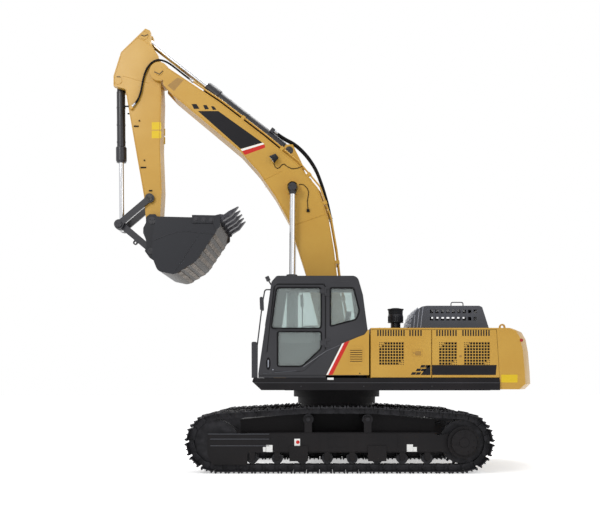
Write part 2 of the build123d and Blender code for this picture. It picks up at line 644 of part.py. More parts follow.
def house_top():
    """The cover over the valves, the hinged engine hood with its rail, and the air pre-cleaner."""
    x0, x1, half, skin = HOUSE_FRONT_X + 20, 1230, HOUSE_INNER_Y - FIT, 12
    low, high = HOUSE_TOP_Z - 62, HOUSE_TOP_Z
    cover = block(x0, x1, -half, half, low, high)
    node("valve_cover", cover - block(x0 + 20, x1 - 20, 20 - half, half - 20, low - 1, high - skin))

    outer = [(x, HOUSE_TOP_Z + rise) for x, rise in HOOD_SIDE]
    face = make_face(Polyline(*[(x, 0, z) for x, z in outer], close=True))
    hood_half = HOUSE_INNER_Y + 30
    room = hood_half - HOOD_SHEET
    hood = slab(outer, -hood_half, hood_half)
    hood -= extrude(offset(face, -HOOD_SHEET), room, dir=(0, 1, 0), both=True)
    # the hood is open below
    first_x, last_x = HOOD_SIDE[0][0] + HOOD_SHEET, HOOD_SIDE[-1][0] - HOOD_SHEET
    hood -= block(first_x, last_x - 12, -room, room, HOUSE_TOP_Z - 1, HOUSE_TOP_Z + 40)
    first, last, count = HOOD_HOLES
    for i in range(count):
        x = first + i * (last - first) / (count - 1)
        for z0, z1 in HOOD_HOLE_ROWS:
            hood -= block(x - HOOD_HOLE_WIDTH / 2, x + HOOD_HOLE_WIDTH / 2, -hood_half - 1, hood_half + 1,
                          HOUSE_TOP_Z + z0, HOUSE_TOP_Z + z1)
    hinge_x, hinge_z = HOOD_HINGE[0], HOUSE_TOP_Z + HOOD_HINGE[1]
    for side in (-1, 1):
        for y in (side * (HOOD_KNUCKLE_Y - 62), side * (HOOD_KNUCKLE_Y + 62)):
            hood += disc((hinge_x, hinge_z), HINGE_R, y - 30, y + 30)
            hood += block(last_x, hinge_x, y - 30, y + 30, hinge_z - 12, hinge_z + 12)
    rail_x0, rail_x1, rail_rise = HOOD_RAIL
    foot = 424
    rail = [(rail_x0, foot), (rail_x0, rail_rise), (rail_x1, rail_rise), (rail_x1, foot)]
    for y in (-HOOD_RAIL_Y, HOOD_RAIL_Y):
        hood += tube([(x, y, HOUSE_TOP_Z + rise) for x, rise in rail], 9, 30)
    node("engine_hood", hood)

    neck, bowl = HOUSE_TOP_Z + 198, HOUSE_TOP_Z + 348
    node("pre_cleaner", post(*CLEANER, 90, HOUSE_TOP_Z + FIT, neck) + post(*CLEANER, 135, neck, bowl))


# Cab

CAB_SIDE = [
    (-1305, CAB_FLOOR_Z, 20), (-1085, 3120, 60), (-1000, CAB_ROOF_Z, 60), (320, CAB_ROOF_Z, 110),
    (410, 2900, 60), (486, 2330, 40), (486, CAB_FLOOR_Z, 20),
]
DOOR_SIDE = [
    (-1200, CAB_FLOOR_Z + 70, 20), (-1020, 3080, 70), (-215, 3080, 30), (-215, 1990, 150),
    (-560, CAB_FLOOR_Z + 70, 150),
]
CAB_ROOM = [
    (-1230, CAB_FLOOR_Z + 60), (-1010, 3110), (-985, CAB_ROOF_Z - 60), (270, CAB_ROOF_Z - 60), (360, 2890),
    (436, 2330), (436, CAB_FLOOR_Z + 60),
]
WINDSCREEN = [(-1262, 1960), (-1104, 3040)]     # lower and upper edge
UPPER_PANE = [(-1085, 2360), (-1000, 3020), (-275, 3020), (-275, 2360)]
LOWER_PANE = [(-1130, 1740), (-1085, 2300), (-275, 2300), (-275, 2030), (-590, 1740)]
CAB_REAR_PANE = [(-120, 2395), (-120, 3015), (257, 3015), (349, 2640), (300, 2510), (223, 2483)]


def hinge_leaves(z):
    """One hinge of the cab door: the door's leaf, and the cab's leaf above and below it."""
    x, y = CAB_HINGE
    knuckle, half, leaf = 12, 35, 6
    leaf_y = (y - leaf, -CAB_OUTER_Y)
    door_leaf = post(x, y, knuckle, z - half, z + half) + block(x - 90, x, *leaf_y, z - half, z + half)
    frame_leaf = []
    for low, high in ((z - 2 * half, z - half - FIT), (z + half + FIT, z + 2 * half)):
        frame_leaf.append(post(x, y, knuckle, low, high) + block(x, x + 70, *leaf_y, low, high))
    return door_leaf, frame_leaf


def cab():
    """The cab's shell, its fixed glass, its door with two panes, and the mounts under it."""
    y_out, y_in = -CAB_OUTER_Y, -CAB_INNER_Y
    shell = rounded_slab(CAB_SIDE, y_out, y_in)
    shell -= slab(CAB_ROOM, y_out + CAB_WALL, y_in - CAB_WALL, 30)
    # the doorway: as wide as the door and a gap, then narrower by a lip behind it
    gap, lip = 7.0, 22.0
    spread = [(-1, -1), (-1, 1), (1, 1), (1, -1), (0, -1)]
    doorway = [(x + gap * u, z + gap * v, r) for (x, z, r), (u, v) in zip(DOOR_SIDE, spread)]
    sill = [(x - lip * (u or 0.5), z - lip * v, r) for (x, z, r), (u, v) in zip(DOOR_SIDE, spread)]
    shell -= rounded_slab(doorway, y_out - 5, y_out + CAB_WALL - 4.5)
    shell -= rounded_slab(sill, y_out - 5, y_out + CAB_WALL + 5)
    windows = [
        (CAB_REAR_PANE, y_out + CAB_WALL / 2),
        ([(-1000, 2150), (-880, 3040), (260, 3040), (330, 2480), (240, 2150)], y_in - CAB_WALL / 2),
    ]
    glass = []
    for outline, y in windows:
        shell -= slab(outline, y - CAB_WALL, y + CAB_WALL, 40)
        glass.append(slab(outline, y - GLASS / 2, y + GLASS / 2, 40))
    # windscreen: cut along the raked front, between its two pillars
    foot, head = WINDSCREEN
    for back, thick, solids in ((-60, 220, None), (20, GLASS, glass)):
        lean = [
            (foot[0] + back, foot[1]), (head[0] + back, head[1]), (head[0] + back + thick, head[1]),
            (foot[0] + back + thick, foot[1]),
        ]
        pane = slab(lean, y_out + 90, y_in - 90)
        if solids is None:
            shell -= pane
        else:
            solids.append(pane)
    # rear window
    low, high = 2420, 2960
    shell -= block(300, 600, y_out + 110, y_in - 110, low, high)
    pane = [(414, low), (395, high), (395 + GLASS, high), (414 + GLASS, low)]
    glass.append(slab(pane, y_out + 110, y_in - 110))
    leaves = [hinge_leaves(z) for z in CAB_HINGE_Z]
    node("cab_shell", shell + [leaf for _, pair in leaves for leaf in pair])
    node("cab_glass", glass)

    panel = rounded_slab(DOOR_SIDE, y_out, y_out + CAB_WALL - 5)
    panes = []
    for outline in (UPPER_PANE, LOWER_PANE):
        panel -= slab(outline, y_out - 5, y_out + CAB_WALL, 35)
        mid = y_out + CAB_WALL / 2
        panes.append(slab(outline, mid - GLASS / 2, mid + GLASS / 2, 35))
    node("cab_door", panel + [leaf for leaf, _ in leaves])
    node("cab_door_glass", panes)
    feet = [post(x, y, 60, DECK_Z, CAB_FLOOR_Z) for x in (-1150, 380) for y in (y_out + 120, y_in - 180)]
    node("cab_mounts", feet)


def cab_inside():
    """The seat, and a console with a control lever on each side of it."""
    middle = -(CAB_OUTER_Y + CAB_INNER_Y) / 2
    floor = CAB_FLOOR_Z + 60 + FIT
    back_rest = [(20, floor + 330), (150, floor + 1000), (230, floor + 1000), (120, floor + 330)]
    seat = block(-420, 80, middle - 240, middle + 240, floor + 220, floor + 340)
    seat += block(-380, 20, middle - 200, middle + 200, floor, floor + 225)
    seat += slab(back_rest, middle - 230, middle + 230)
    node("operator_seat", seat)
    consoles = []
    for side in (-1, 1):
        y0, y1 = sorted((middle + side * 260, middle + side * 370))
        lever_y = (y0 + y1) / 2
        box = block(-450, 60, y0, y1, floor, floor + 480)
        box += post(-400, lever_y, 16, floor + 475, floor + 640)
        box += post(-400, lever_y, 26, floor + 620, floor + 740)
        consoles.append(box)
    node("control_consoles", consoles)


def rails():
    """Mirror stays, the cab's front guard, the rail over the fuel tank, the mirrors and a lamp."""
    y = -MIRROR_Y
    stay = [(-1104, 3000), (-1200, 3000), (-1243, 2760), (-1326, 2080), (-1330, DECK_Z + FIT)]
    stay_line = [(x, y, z) for x, z in stay]
    guard_side = [(-1410, DECK_Z + FIT, 5), (-1412, 2138, 25), (-1325, 2138, 25), (-1318, DECK_Z + FIT, 5)]
    guard = rounded_slab(guard_side, y - 110, y - STAY_R - FIT)
    x0, x1 = TANK_RAIL_X
    rail_z = HOUSE_TOP_Z + TANK_RAIL_RISE
    post_top = rail_z + 640
    rail_line = [
        (x0, MIRROR_Y, HOUSE_TOP_Z - 40 + FIT), (x0, MIRROR_Y, rail_z), (x1, MIRROR_Y, rail_z),
        (x1, MIRROR_Y, HOUSE_TOP_Z + FIT),
    ]
    rail = tube(rail_line, TANK_RAIL_R, 70) + post(x0, MIRROR_Y, STAY_R, rail_z - 100, post_top)
    node("handrails", tube(stay_line, STAY_R, 40), guard, rail)

    left_side = [(-1270, 2650, 24), (-1278, 2868, 24), (-1222, 2868, 24), (-1215, 2650, 24)]
    left = rounded_slab(left_side, y - 150, y + 30) - tube(stay_line, STAY_R + FIT, 40)
    low, high = rail_z + 370, rail_z + 610
    right_side = [(x0 - 32, low, 24), (x0 - 40, high, 24), (x0 + 15, high, 24), (x0 + 28, low, 24)]
    right = rounded_slab(right_side, MIRROR_Y - 40, MIRROR_Y + 60)
    right -= post(x0, MIRROR_Y, STAY_R + FIT, rail_z, post_top)
    # the lamp's stem ends slanting, just before the cab's raked front
    (low_x, low_z, _), (high_x, high_z, _) = CAB_SIDE[:2]
    stem_z = 3085
    front_x = low_x + (high_x - low_x) * (stem_z - low_z) / (high_z - low_z)
    lamp = round_bar((-1172, 3222), (-1140, 3150), y + 60, 34)
    lamp += round_bar((-1145, 3160), (front_x - 0.85 * LAMP_STEM_R, stem_z), y + 60, LAMP_STEM_R)
    node("mirrors_and_lamps", left, right, lamp)


# Arm

def boom():
    """The boom: a hollow box beam with its bosses, fork and the two ears of the stick cylinder."""
    half = BOOM_WIDTH / 2
    slot_half = STICK_WIDTH / 2 + 10
    cylinder_ear = [(-1000, 5560), (-900, 5700), (-780, 5700), (-560, 5250), (-760, 5330)]
    solid = slab(BOOM_BACK[::-1] + BOOM_BELLY, -half, half)
    solid -= slab(BOOM_HOLLOW, -half + BOOM_PLATE, half - BOOM_PLATE)
    solid += disc(BOOM_TIP, 165, -half, half) + disc(BOOM_FOOT, 130, -half, half)
    solid -= disc(BOOM_TIP, 480, -slot_half, slot_half)
    for sign in (-1, 1):
        solid += disc(BOOM_ROD_PIN, 120, *outward(sign, half, BOOM_CYLINDER_Y - 63))
        solid += slab(cylinder_ear, *outward(sign, 98, 140))
    for centre, radius in ((BOOM_FOOT, BOOM_FOOT_R), (BOOM_TIP, BOOM_TIP_R), (STICK_BASE_PIN, STICK_PIN_R)):
        solid -= disc(centre, radius + FIT, -half - 1, half + 1)
    node("boom", solid)
    node("boom_pins", disc(BOOM_TIP, BOOM_TIP_R, -half, half), disc(STICK_BASE_PIN, STICK_PIN_R, -140, 140))


def boom_pipes():
    """Steel pipes up the boom's back, welded to the clamps that hold them."""
    route = raised(BOOM_BACK, PIPE_RISE)
    lines = [  # y, points
        (PIPE_INNER_Y, [*route[:3], along(INNER_TOP, route[2], LINE_GAP)]),
        (PIPE_OUTER_Y, [*route[:8], along(OUTER_TOP, route[7], LINE_GAP)]),
    ]
    foot, head = PIPE_RISE - FIT, PIPE_R + 8
    solids = []
    for sign in (-1, 1):
        solids += [tube([(x, sign * y, z) for x, z in points], PIPE_R, 120) for y, points in lines]
        for k in (0, 1, 3, 4, 5, 6):
            (x0, z0), (x1, z1) = route[k], route[k + 1]
            y = PIPE_INNER_Y if k < 2 else PIPE_OUTER_Y
            turn = Rot(0, -degrees(atan2(z1 - z0, x1 - x0)), 0)
            middle = Pos((x0 + x1) / 2, sign * (y + PIPE_OUTER_Y) / 2, (z0 + z1) / 2)
            clamp = Pos(0, 0, (foot - head) / 2) * Box(60, PIPE_OUTER_Y - y + 70, foot + head)
            solids.append(middle * turn * clamp)
    pipes = solids[0]
    for solid in solids[1:]:
        pipes += solid
    node("boom_pipes", pipes)


def hoses():
    """Hoses from the boom's pipes to the stick cylinder, and over the boom's tip to the stick."""
    ports = [beside(STICK_BASE_PIN, STICK_ROD_PIN, PORT[0] - run, -PORT_RISE) for run in (180, FIT)]
    start = (INNER_TOP[0], PIPE_INNER_Y, INNER_TOP[1])
    route = [start, *STICK_HOSE_ROUTE, *[(x, PORT_Y, z) for x, z in ports]]
    tip_route = [OUTER_TOP, *TIP_HOSE_ROUTE, STICK_LEAD, STICK_PORT]
    stick_hoses, tip_hoses = [], []
    for sign in (-1, 1):
        stick_hoses.append(hose([(x, sign * y, z) for x, y, z in route], HOSE_R))
        tip_hoses.append(hose([(x, sign * PIPE_OUTER_Y, z) for x, z in tip_route], TIP_HOSE_R))
    node("stick_cylinder_hoses", stick_hoses)
    node("tip_hoses", tip_hoses)


def stick():
    """The stick: a hollow box beam with forks for the two cylinder ends, and a hose port on each side."""
    half = STICK_WIDTH / 2
    solid = slab(STICK_SIDE, -half, half)
    solid -= slab(STICK_HOLLOW, -half + 12, half - 12)
    solid += disc(BOOM_TIP, 175, -half, half)
    solid -= block(-3560, -3000, -72, 72, 7215, 7800)
    solid -= slab([(-4000, 6600), (-3740, 6600), (-3740, 6940), (-4000, 6940)], -85, 85)
    solid -= disc(BOOM_TIP, BOOM_TIP_R + FIT, -half - 1, half + 1)
    reach = PIPE_OUTER_Y + TIP_HOSE_R + 8
    turn = Rot(0, -degrees(atan2(STICK_PORT[1] - STICK_LEAD[1], STICK_PORT[0] - STICK_LEAD[0])), 0)
    for sign in (-1, 1):
        port = Pos(27 + FIT, sign * (half - 2 + reach) / 2, 0) * Box(54, reach - half + 2, 60)
        solid += Pos(STICK_PORT[0], 0, STICK_PORT[1]) * turn * port
    pins = [
        (STICK_ROD_PIN, STICK_PIN_R), (BUCKET_BASE_PIN, LINK_PIN_R), (LINK_STICK_PIN, LINK_PIN_R),
        (BUCKET_PIN, BUCKET_PIN_R),
    ]
    for centre, radius in pins:
        solid -= disc(centre, radius + FIT, -half - 1, half + 1)
    node("stick", solid)
    ear = half + GAP
    link_half = ear + EAR_PLATE
    node("stick_pins", disc(BUCKET_BASE_PIN, LINK_PIN_R, -half, half),
         disc(LINK_STICK_PIN, LINK_PIN_R, -link_half, link_half))


def bucket():
    """The bucket with its lip, ears and side cutters, its pins, and its teeth."""
    half = BUCKET_WIDTH / 2
    ear_inner = STICK_WIDTH / 2 + GAP
    ear_outer = ear_inner + EAR_PLATE
    body = rounded_slab(BUCKET_SIDE, -half, half)
    body -= rounded_slab(BUCKET_HOLLOW, -half + BUCKET_PLATE, half - BUCKET_PLATE)
    body += block(-2075, -1985, -half, half, 4235, 4290)
    for sign in (-1, 1):
        body += slab(BUCKET_EAR, *outward(sign, ear_inner, ear_outer))
        body += slab(CUTTER_SIDE, *outward(sign, half - 5, half + CUTTER_PLATE))
    for centre, radius in ((BUCKET_PIN, BUCKET_PIN_R), (LINK_BUCKET_PIN, LINK_PIN_R)):
        body -= disc(centre, radius + FIT, -ear_outer - 5, ear_outer + 5)
    node("bucket", body)
    link_pins = both_sides(disc(LINK_BUCKET_PIN, LINK_PIN_R, ear_inner, ear_outer))
    node("bucket_pins", disc(BUCKET_PIN, BUCKET_PIN_R, -ear_outer, ear_outer), link_pins)
    first = TOOTH_INSET - half
    pitch = (BUCKET_WIDTH - 2 * TOOTH_INSET) / (TOOTH_COUNT - 1)
    rows = [first + i * pitch for i in range(TOOTH_COUNT)]
    node("bucket_teeth", [slab(TOOTH_SIDE, y - TOOTH_WIDTH / 2, y + TOOTH_WIDTH / 2) for y in rows])


def bucket_linkage():
    """The two side links from the stick to the bucket rod's pin, and the H-link from there to the bucket."""
    a, c, d = LINK_STICK_PIN, LINK_ROD_PIN, LINK_BUCKET_PIN
    ear_inner = STICK_WIDTH / 2 + GAP
    ear_outer = ear_inner + EAR_PLATE
    half = SIDE_LINK_WIDTH / 2
    corners = bar_outline(a, c, -half, half)
    links = []
    for sign in (-1, 1):
        y0, y1 = outward(sign, ear_inner, ear_outer)
        bar = slab(corners, y0, y1) + disc(a, 82, y0, y1) + disc(c, 84, y0, y1)
        bar -= disc(a, LINK_PIN_R + FIT, y0 - 1, y1 + 1)
        links.append(bar - disc(c, LINK_ROD_PIN_R + FIT, y0 - 1, y1 + 1))
    node("side_links", links)
    node("link_pins", both_sides(disc(c, LINK_ROD_PIN_R, 90, ear_outer + 12)))

    arm = STICK_WIDTH / 2 - GAP
    front = -H_LINK_FRONT
    link = slab(bar_outline(c, d, front, H_LINK_BACK), -arm, arm)
    link += disc(c, 90, -arm, arm) + disc(d, 82, -arm, arm)
    link -= disc(c, 210, -85, 85)       # room for the bucket cylinder's rod eye
    link -= disc(c, LINK_ROD_PIN_R + FIT, -arm - 1, arm + 1)
    link += disc(d, LINK_PIN_R, -arm - PIN_STUB, arm + PIN_STUB)
    eye_run, eye_offset = LINK_EYE
    eye = beside(c, d, eye_run, eye_offset)
    ear = [
        beside(c, d, eye_run - 55, front + 5), beside(c, d, eye_run, eye_offset - 20),
        beside(c, d, eye_run + 55, front + 5),
    ]
    link += slab(ear, -20, 20) + disc(eye, 40, -20, 20)
    node("h_link", link - disc(eye, LINK_EYE_R, -21, 21))


CYLINDERS = [
    # name, base pin, rod pin, centre y,
    # base pin r, rod pin r, base eye half, rod eye half, barrel r, rod r, barrel length
    ("boom_cylinder_left", BOOM_BASE_PIN, BOOM_ROD_PIN, -BOOM_CYLINDER_Y,
     BOOM_CYLINDER_PIN_R, BOOM_CYLINDER_PIN_R, BOOM_EYE_HALF, 50, 87.5, 47.5, 1880),
    ("boom_cylinder_right", BOOM_BASE_PIN, BOOM_ROD_PIN, BOOM_CYLINDER_Y,
     BOOM_CYLINDER_PIN_R, BOOM_CYLINDER_PIN_R, BOOM_EYE_HALF, 50, 87.5, 47.5, 1880),
    ("stick_cylinder", STICK_BASE_PIN, STICK_ROD_PIN, 0.0,
     STICK_PIN_R, STICK_PIN_R, 90, 58, 90, 52.5, 1882),
    ("bucket_cylinder", BUCKET_BASE_PIN, LINK_ROD_PIN, 0.0,
     LINK_PIN_R, LINK_ROD_PIN_R, 75, 60, 75, 45, 1400),
]


def cylinder(name, base, rod_pin, y, base_r, pin_r, base_half, eye_half, barrel_r, rod_r, length):
    """A hydraulic cylinder in two bodies: the barrel with its base eye, and the rod with its eye and pin."""
    total = distance(base, rod_pin)
    neck = base_r + 100
    barrel = round_bar(along(base, rod_pin, neck), along(base, rod_pin, length), y, barrel_r)
    barrel += round_bar(along(base, rod_pin, length - 110), along(base, rod_pin, length), y, barrel_r + 9)
    barrel += round_bar(base, along(base, rod_pin, neck + 10), y, 0.9 * base_half)
    barrel += disc(base, base_r + 45, y - base_half, y + base_half)
    barrel -= disc(base, base_r + FIT, y - 2 * base_half, y + 2 * base_half)
    if name == "stick_cylinder":
        corners = [(PORT[0], -60), (PORT[0], -PORT_TOP), (PORT[1], -PORT_TOP), (PORT[1], -60)]
        outline = [beside(base, rod_pin, run, offset) for run, offset in corners]
        for sign in (-1, 1):
            barrel += slab(outline, *outward(sign, PORT_Y - HOSE_R - 6, PORT_Y + HOSE_R + 6))
    bore_start = neck + 40
    barrel -= round_bar(along(base, rod_pin, bore_start), along(base, rod_pin, length + 10), y, rod_r + FIT)
    node(name + "_barrel", barrel)
    inside = max(bore_start + 60, total - length + 60)
    rod = round_bar(along(base, rod_pin, inside), along(base, rod_pin, total - pin_r - 20), y, rod_r)
    rod += disc(rod_pin, pin_r + 42, y - eye_half, y + eye_half)
    rod += disc(rod_pin, pin_r, y - eye_half - PIN_STUB, y + eye_half + PIN_STUB)
    node(name + "_rod", rod)


undercarriage()
upper_frame()
counterweight()
side_compartments()
machinery()
tool_box()
house_top()
cab()
cab_inside()
rails()
boom()
boom_pipes()
hoses()
stick()
bucket()
bucket_linkage()
for row in CYLINDERS:
    cylinder(*row)

os.makedirs("parts", exist_ok=True)
for name, shape in NODES.items():
    export_step(shape, "parts/" + name + ".step")
    print(name, len(shape.solids()), round(shape.volume / 1e9, 4), "m3")
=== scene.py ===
# %% [markdown]
# # A crawler excavator
# A crawler excavator is a slewing machine on two steel tracks. Its boom, stick and bucket are welded
# boxes of painted plate, moved by hydraulic cylinders. The CAD model gives every piece its real size
# and place. This lesson adds what a maker's paint shop and fitters add: finishes, shoes, bolts,
# grilles, hoses and stripes. Lengths are metres, the machine faces -X, and its cab is on the -Y side.

# %% Load the frame
import json
import math

import bmesh
import bpy
from mathutils import Matrix, Vector


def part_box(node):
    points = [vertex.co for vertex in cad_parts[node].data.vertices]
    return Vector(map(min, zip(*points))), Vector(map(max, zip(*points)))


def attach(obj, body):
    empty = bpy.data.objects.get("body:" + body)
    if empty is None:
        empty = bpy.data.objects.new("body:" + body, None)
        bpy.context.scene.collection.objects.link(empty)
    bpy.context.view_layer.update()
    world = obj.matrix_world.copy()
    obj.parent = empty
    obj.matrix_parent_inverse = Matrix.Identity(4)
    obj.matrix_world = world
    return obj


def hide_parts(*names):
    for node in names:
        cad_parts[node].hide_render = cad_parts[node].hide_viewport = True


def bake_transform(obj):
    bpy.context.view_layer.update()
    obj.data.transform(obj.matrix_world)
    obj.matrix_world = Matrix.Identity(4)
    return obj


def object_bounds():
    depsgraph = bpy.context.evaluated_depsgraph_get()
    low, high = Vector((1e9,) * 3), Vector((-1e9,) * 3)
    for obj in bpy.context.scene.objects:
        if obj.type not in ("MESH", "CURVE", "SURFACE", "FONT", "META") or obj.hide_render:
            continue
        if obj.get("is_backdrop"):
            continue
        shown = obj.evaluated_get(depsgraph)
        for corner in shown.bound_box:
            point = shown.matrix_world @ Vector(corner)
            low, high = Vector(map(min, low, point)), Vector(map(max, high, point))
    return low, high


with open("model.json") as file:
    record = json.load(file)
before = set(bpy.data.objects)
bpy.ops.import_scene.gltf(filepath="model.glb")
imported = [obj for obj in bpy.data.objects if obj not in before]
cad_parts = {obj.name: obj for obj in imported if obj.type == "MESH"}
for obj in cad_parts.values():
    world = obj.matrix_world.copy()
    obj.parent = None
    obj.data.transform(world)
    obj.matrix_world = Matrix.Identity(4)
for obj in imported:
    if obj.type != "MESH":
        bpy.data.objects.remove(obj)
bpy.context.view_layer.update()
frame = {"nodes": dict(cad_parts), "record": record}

# %% [markdown]
# ## Camera
# A level camera on the machine's left looks straight across it, as in a catalogue view. A lens shift
# keeps the uprights upright and still takes in the whole boom, where tilting the camera would not.

# %% Place the camera
CAMERA_DISTANCE = 16.0
CAMERA_HEIGHT = 1.48
CAMERA_X = -0.26
IMAGE_WIDTH = 600
FOCAL_COLUMNS = 893      # the focal length, in columns of the image
AXIS_RIGHT = 22          # where the lens axis meets the image, from its middle
AXIS_DOWN = 121.5

camera_data = bpy.data.cameras.new("camera")
camera = bpy.data.objects.new("camera", camera_data)
bpy.context.collection.objects.link(camera)
camera.location = (CAMERA_X, -CAMERA_DISTANCE, CAMERA_HEIGHT)
camera.rotation_euler = (math.radians(90), 0, 0)
camera_data.sensor_width = 36
camera_data.lens = FOCAL_COLUMNS / IMAGE_WIDTH * camera_data.sensor_width
camera_data.shift_x = -AXIS_RIGHT / IMAGE_WIDTH
camera_data.shift_y = AXIS_DOWN / IMAGE_WIDTH
camera_data.clip_end = 200
bpy.context.scene.camera = camera
print("camera", tuple(camera.location), "lens", round(camera_data.lens, 2))

# %% [markdown]
# ## Finishes
# Each material is named for the real finish. Colours are written as the hex values a paint chart
# gives, and one function turns them to the linear values that the shader reads. One more adds a node
# with its settings and links, so that a material reads as a list of what its surface is made of.

# %% Colours and the node helper
def linear(hex_colour):
    """sRGB hex, such as "#cf9b45", as linear RGBA."""
    parts = [int(hex_colour[i:i + 2], 16) / 255 for i in (1, 3, 5)]
    return [c / 12.92 if c <= 0.04045 else ((c + 0.055) / 1.055) ** 2.4 for c in parts] + [1.0]


def add(tree, kind, settings=None, links=None):
    """Add a node, set its properties or inputs by name or number, and link its inputs."""
    node = tree.nodes.new("ShaderNode" + kind)
    for key, value in (settings or {}).items():
        if isinstance(key, str) and hasattr(node, key):
            setattr(node, key, value)
        else:
            node.inputs[key].default_value = value
    for key, socket in (links or {}).items():
        tree.links.new(socket, node.inputs[key])
    return node


def new_finish(name, roughness=0.5, metallic=0.0):
    """An empty material: its tree, its shader and its Object coordinates, in metres."""
    material = bpy.data.materials.new(name)
    material.use_nodes = True
    tree = material.node_tree
    shader = tree.nodes["Principled BSDF"]
    shader.inputs["Roughness"].default_value = roughness
    shader.inputs["Metallic"].default_value = metallic
    where = add(tree, "TexCoord").outputs["Object"]
    return material, tree, shader, where


# %% [markdown]
# ### Painted steel
# Machine enamel is sprayed over welded plate: an alkyd film, IOR about 1.5, half gloss, with a faint
# orange peel. Its bumps are 2 or 3 mm across on the real plate, and 6 mm here, so that they show.
# Fine dust settles on it in soft patches half a metre across, more of it near the ground.

# %% Machine enamel
PEEL_SIZE = 0.006
PATCH_SIZE = 0.55


DUST = "#a39683"
DUST_HEIGHT = 1.0        # above this height little dust reaches the paint


def enamel(name, colour, shade, roughness, dust_amount=0.25, gloss=0.5):
    material, tree, shader, where = new_finish(name)
    patches = add(tree, "TexNoise", {"Scale": 1 / PATCH_SIZE, "Detail": 5.0},
                  {"Vector": where}).outputs["Fac"]
    height = add(tree, "SeparateXYZ", {}, {0: where}).outputs["Z"]
    low_down = add(tree, "MapRange", {"From Max": DUST_HEIGHT, "To Min": dust_amount, "To Max": 0.02},
                   {"Value": height}).outputs[0]
    settled = add(tree, "Math", {"operation": "MULTIPLY"}, {0: patches, 1: low_down}).outputs[0]
    cloudy = add(tree, "MapRange", {"From Min": 0.3, "From Max": 0.75}, {"Value": patches}).outputs[0]
    paint = add(tree, "Mix", {"data_type": "RGBA", 6: linear(colour), 7: linear(shade)},
                {0: cloudy}).outputs[2]
    dusty = add(tree, "Mix", {"data_type": "RGBA", 7: linear(DUST)}, {0: settled, 6: paint}).outputs[2]
    tree.links.new(dusty, shader.inputs["Base Color"])
    dulled = add(tree, "MapRange", {"From Min": 0.3, "From Max": 0.7, "To Min": roughness,
                                    "To Max": roughness + 0.12}, {"Value": patches}).outputs[0]
    tree.links.new(dulled, shader.inputs["Roughness"])
    shader.inputs["Specular IOR Level"].default_value = gloss
    shader.inputs["Coat Weight"].default_value = gloss / 2
    shader.inputs["Coat Roughness"].default_value = 0.2
    peel = add(tree, "TexNoise", {"Scale": 1 / PEEL_SIZE, "Detail": 1.0}, {"Vector": where}).outputs["Fac"]
    bumps = add(tree, "Bump", {"Strength": 0.12, "Distance": 0.0004}, {"Height": peel})
    tree.links.new(bumps.outputs[0], shader.inputs["Normal"])
    return material


YELLOW = enamel("yellow_machine_enamel", "#c69b3f", "#bf9134", 0.36, gloss=0.35)
# Painted shade: this darker yellow stands for the shade in recesses, on the latch paddle and the locks, and
# for the shaded band on the boom's nose.
PAINTED_SHADE_YELLOW = enamel("painted_shade_yellow_enamel", "#a37a2c", "#966e25", 0.45)
BLACK = enamel("black_machine_enamel", "#17181f", "#1d1e26", 0.34, dust_amount=0.03, gloss=0.4)
CHASSIS_BLACK = enamel("black_chassis_enamel", "#101014", "#16151a", 0.55, dust_amount=0.04, gloss=0.12)
# The grey enamel is the hood's own colour, and it also paints highlights on black parts: the folds of the
# idler guards and the cab's crease beads.
HOOD_GREY_AND_HIGHLIGHT = enamel("grey_hood_and_highlight_enamel", "#33363f", "#3d404a", 0.32, dust_amount=0.05)
# This light grey paints highlights on the hood's louvre ridges and folded edges, and it is also the colour
# of the pull in the door's hand well.
LIGHT_GREY_AND_HIGHLIGHT = enamel("light_grey_and_highlight_enamel", "#8d919c", "#a3a7b1", 0.3, dust_amount=0.05)
print("enamels:", [m.name for m in bpy.data.materials])

# %% [markdown]
# ### Bare and worn steel
# Shoes, rollers and the bucket's shell are ground by soil. The metal shows dark brown-grey, with
# patches a hand wide and scratches a few millimetres apart. Pins are ground and greased. Hard chrome
# on a rod is the smoothest surface on the machine, and its roughness is near that of a mirror.

# %% Steels
SCRATCH_SIZE = 0.005


def worn_steel(name, dark, light, roughness, metallic, patch=0.12):
    material, tree, shader, where = new_finish(name, metallic=metallic)
    patches = add(tree, "TexNoise", {"Scale": 1 / patch, "Detail": 6.0, "Roughness": 0.6},
                  {"Vector": where})
    worn = add(tree, "MapRange", {"From Min": 0.35, "From Max": 0.68}, {"Value": patches.outputs["Fac"]})
    colour = add(tree, "Mix", {"data_type": "RGBA", 6: linear(dark), 7: linear(light)},
                 {0: worn.outputs[0]})
    tree.links.new(colour.outputs[2], shader.inputs["Base Color"])
    polish = add(tree, "MapRange", {"From Min": 0.3, "From Max": 0.7, "To Min": roughness + 0.15,
                                    "To Max": roughness}, {"Value": patches.outputs["Fac"]})
    tree.links.new(polish.outputs[0], shader.inputs["Roughness"])
    scratches = add(tree, "TexNoise", {"Scale": 1 / SCRATCH_SIZE, "Detail": 3.0}, {"Vector": where})
    bumps = add(tree, "Bump", {"Strength": 0.3, "Distance": 0.0008}, {"Height": scratches.outputs["Fac"]})
    tree.links.new(bumps.outputs[0], shader.inputs["Normal"])
    return material


TRACK_STEEL = worn_steel("worn_track_steel", "#121216", "#252429", 0.5, 0.4)
TOOTH_STEEL = worn_steel("forged_tooth_steel", "#232328", "#4c4b50", 0.35, 0.6, 0.06)
PIN_STEEL = worn_steel("greased_pin_steel", "#2c2b2b", "#4a4846", 0.35, 0.8, 0.05)
BUCKET_STEEL = worn_steel("scoured_bucket_steel", "#5b5249", "#7b7065", 0.5, 0.3, 0.2)
ENGINE_IRON = worn_steel("cast_engine_iron", "#232324", "#3a3a3a", 0.6, 0.3)
ZINC = worn_steel("zinc_plated_steel", "#8f9194", "#b4b6b8", 0.3, 1.0, 0.03)
print("ground and worn:", TRACK_STEEL.name, TOOTH_STEEL.name, PIN_STEEL.name, BUCKET_STEEL.name)

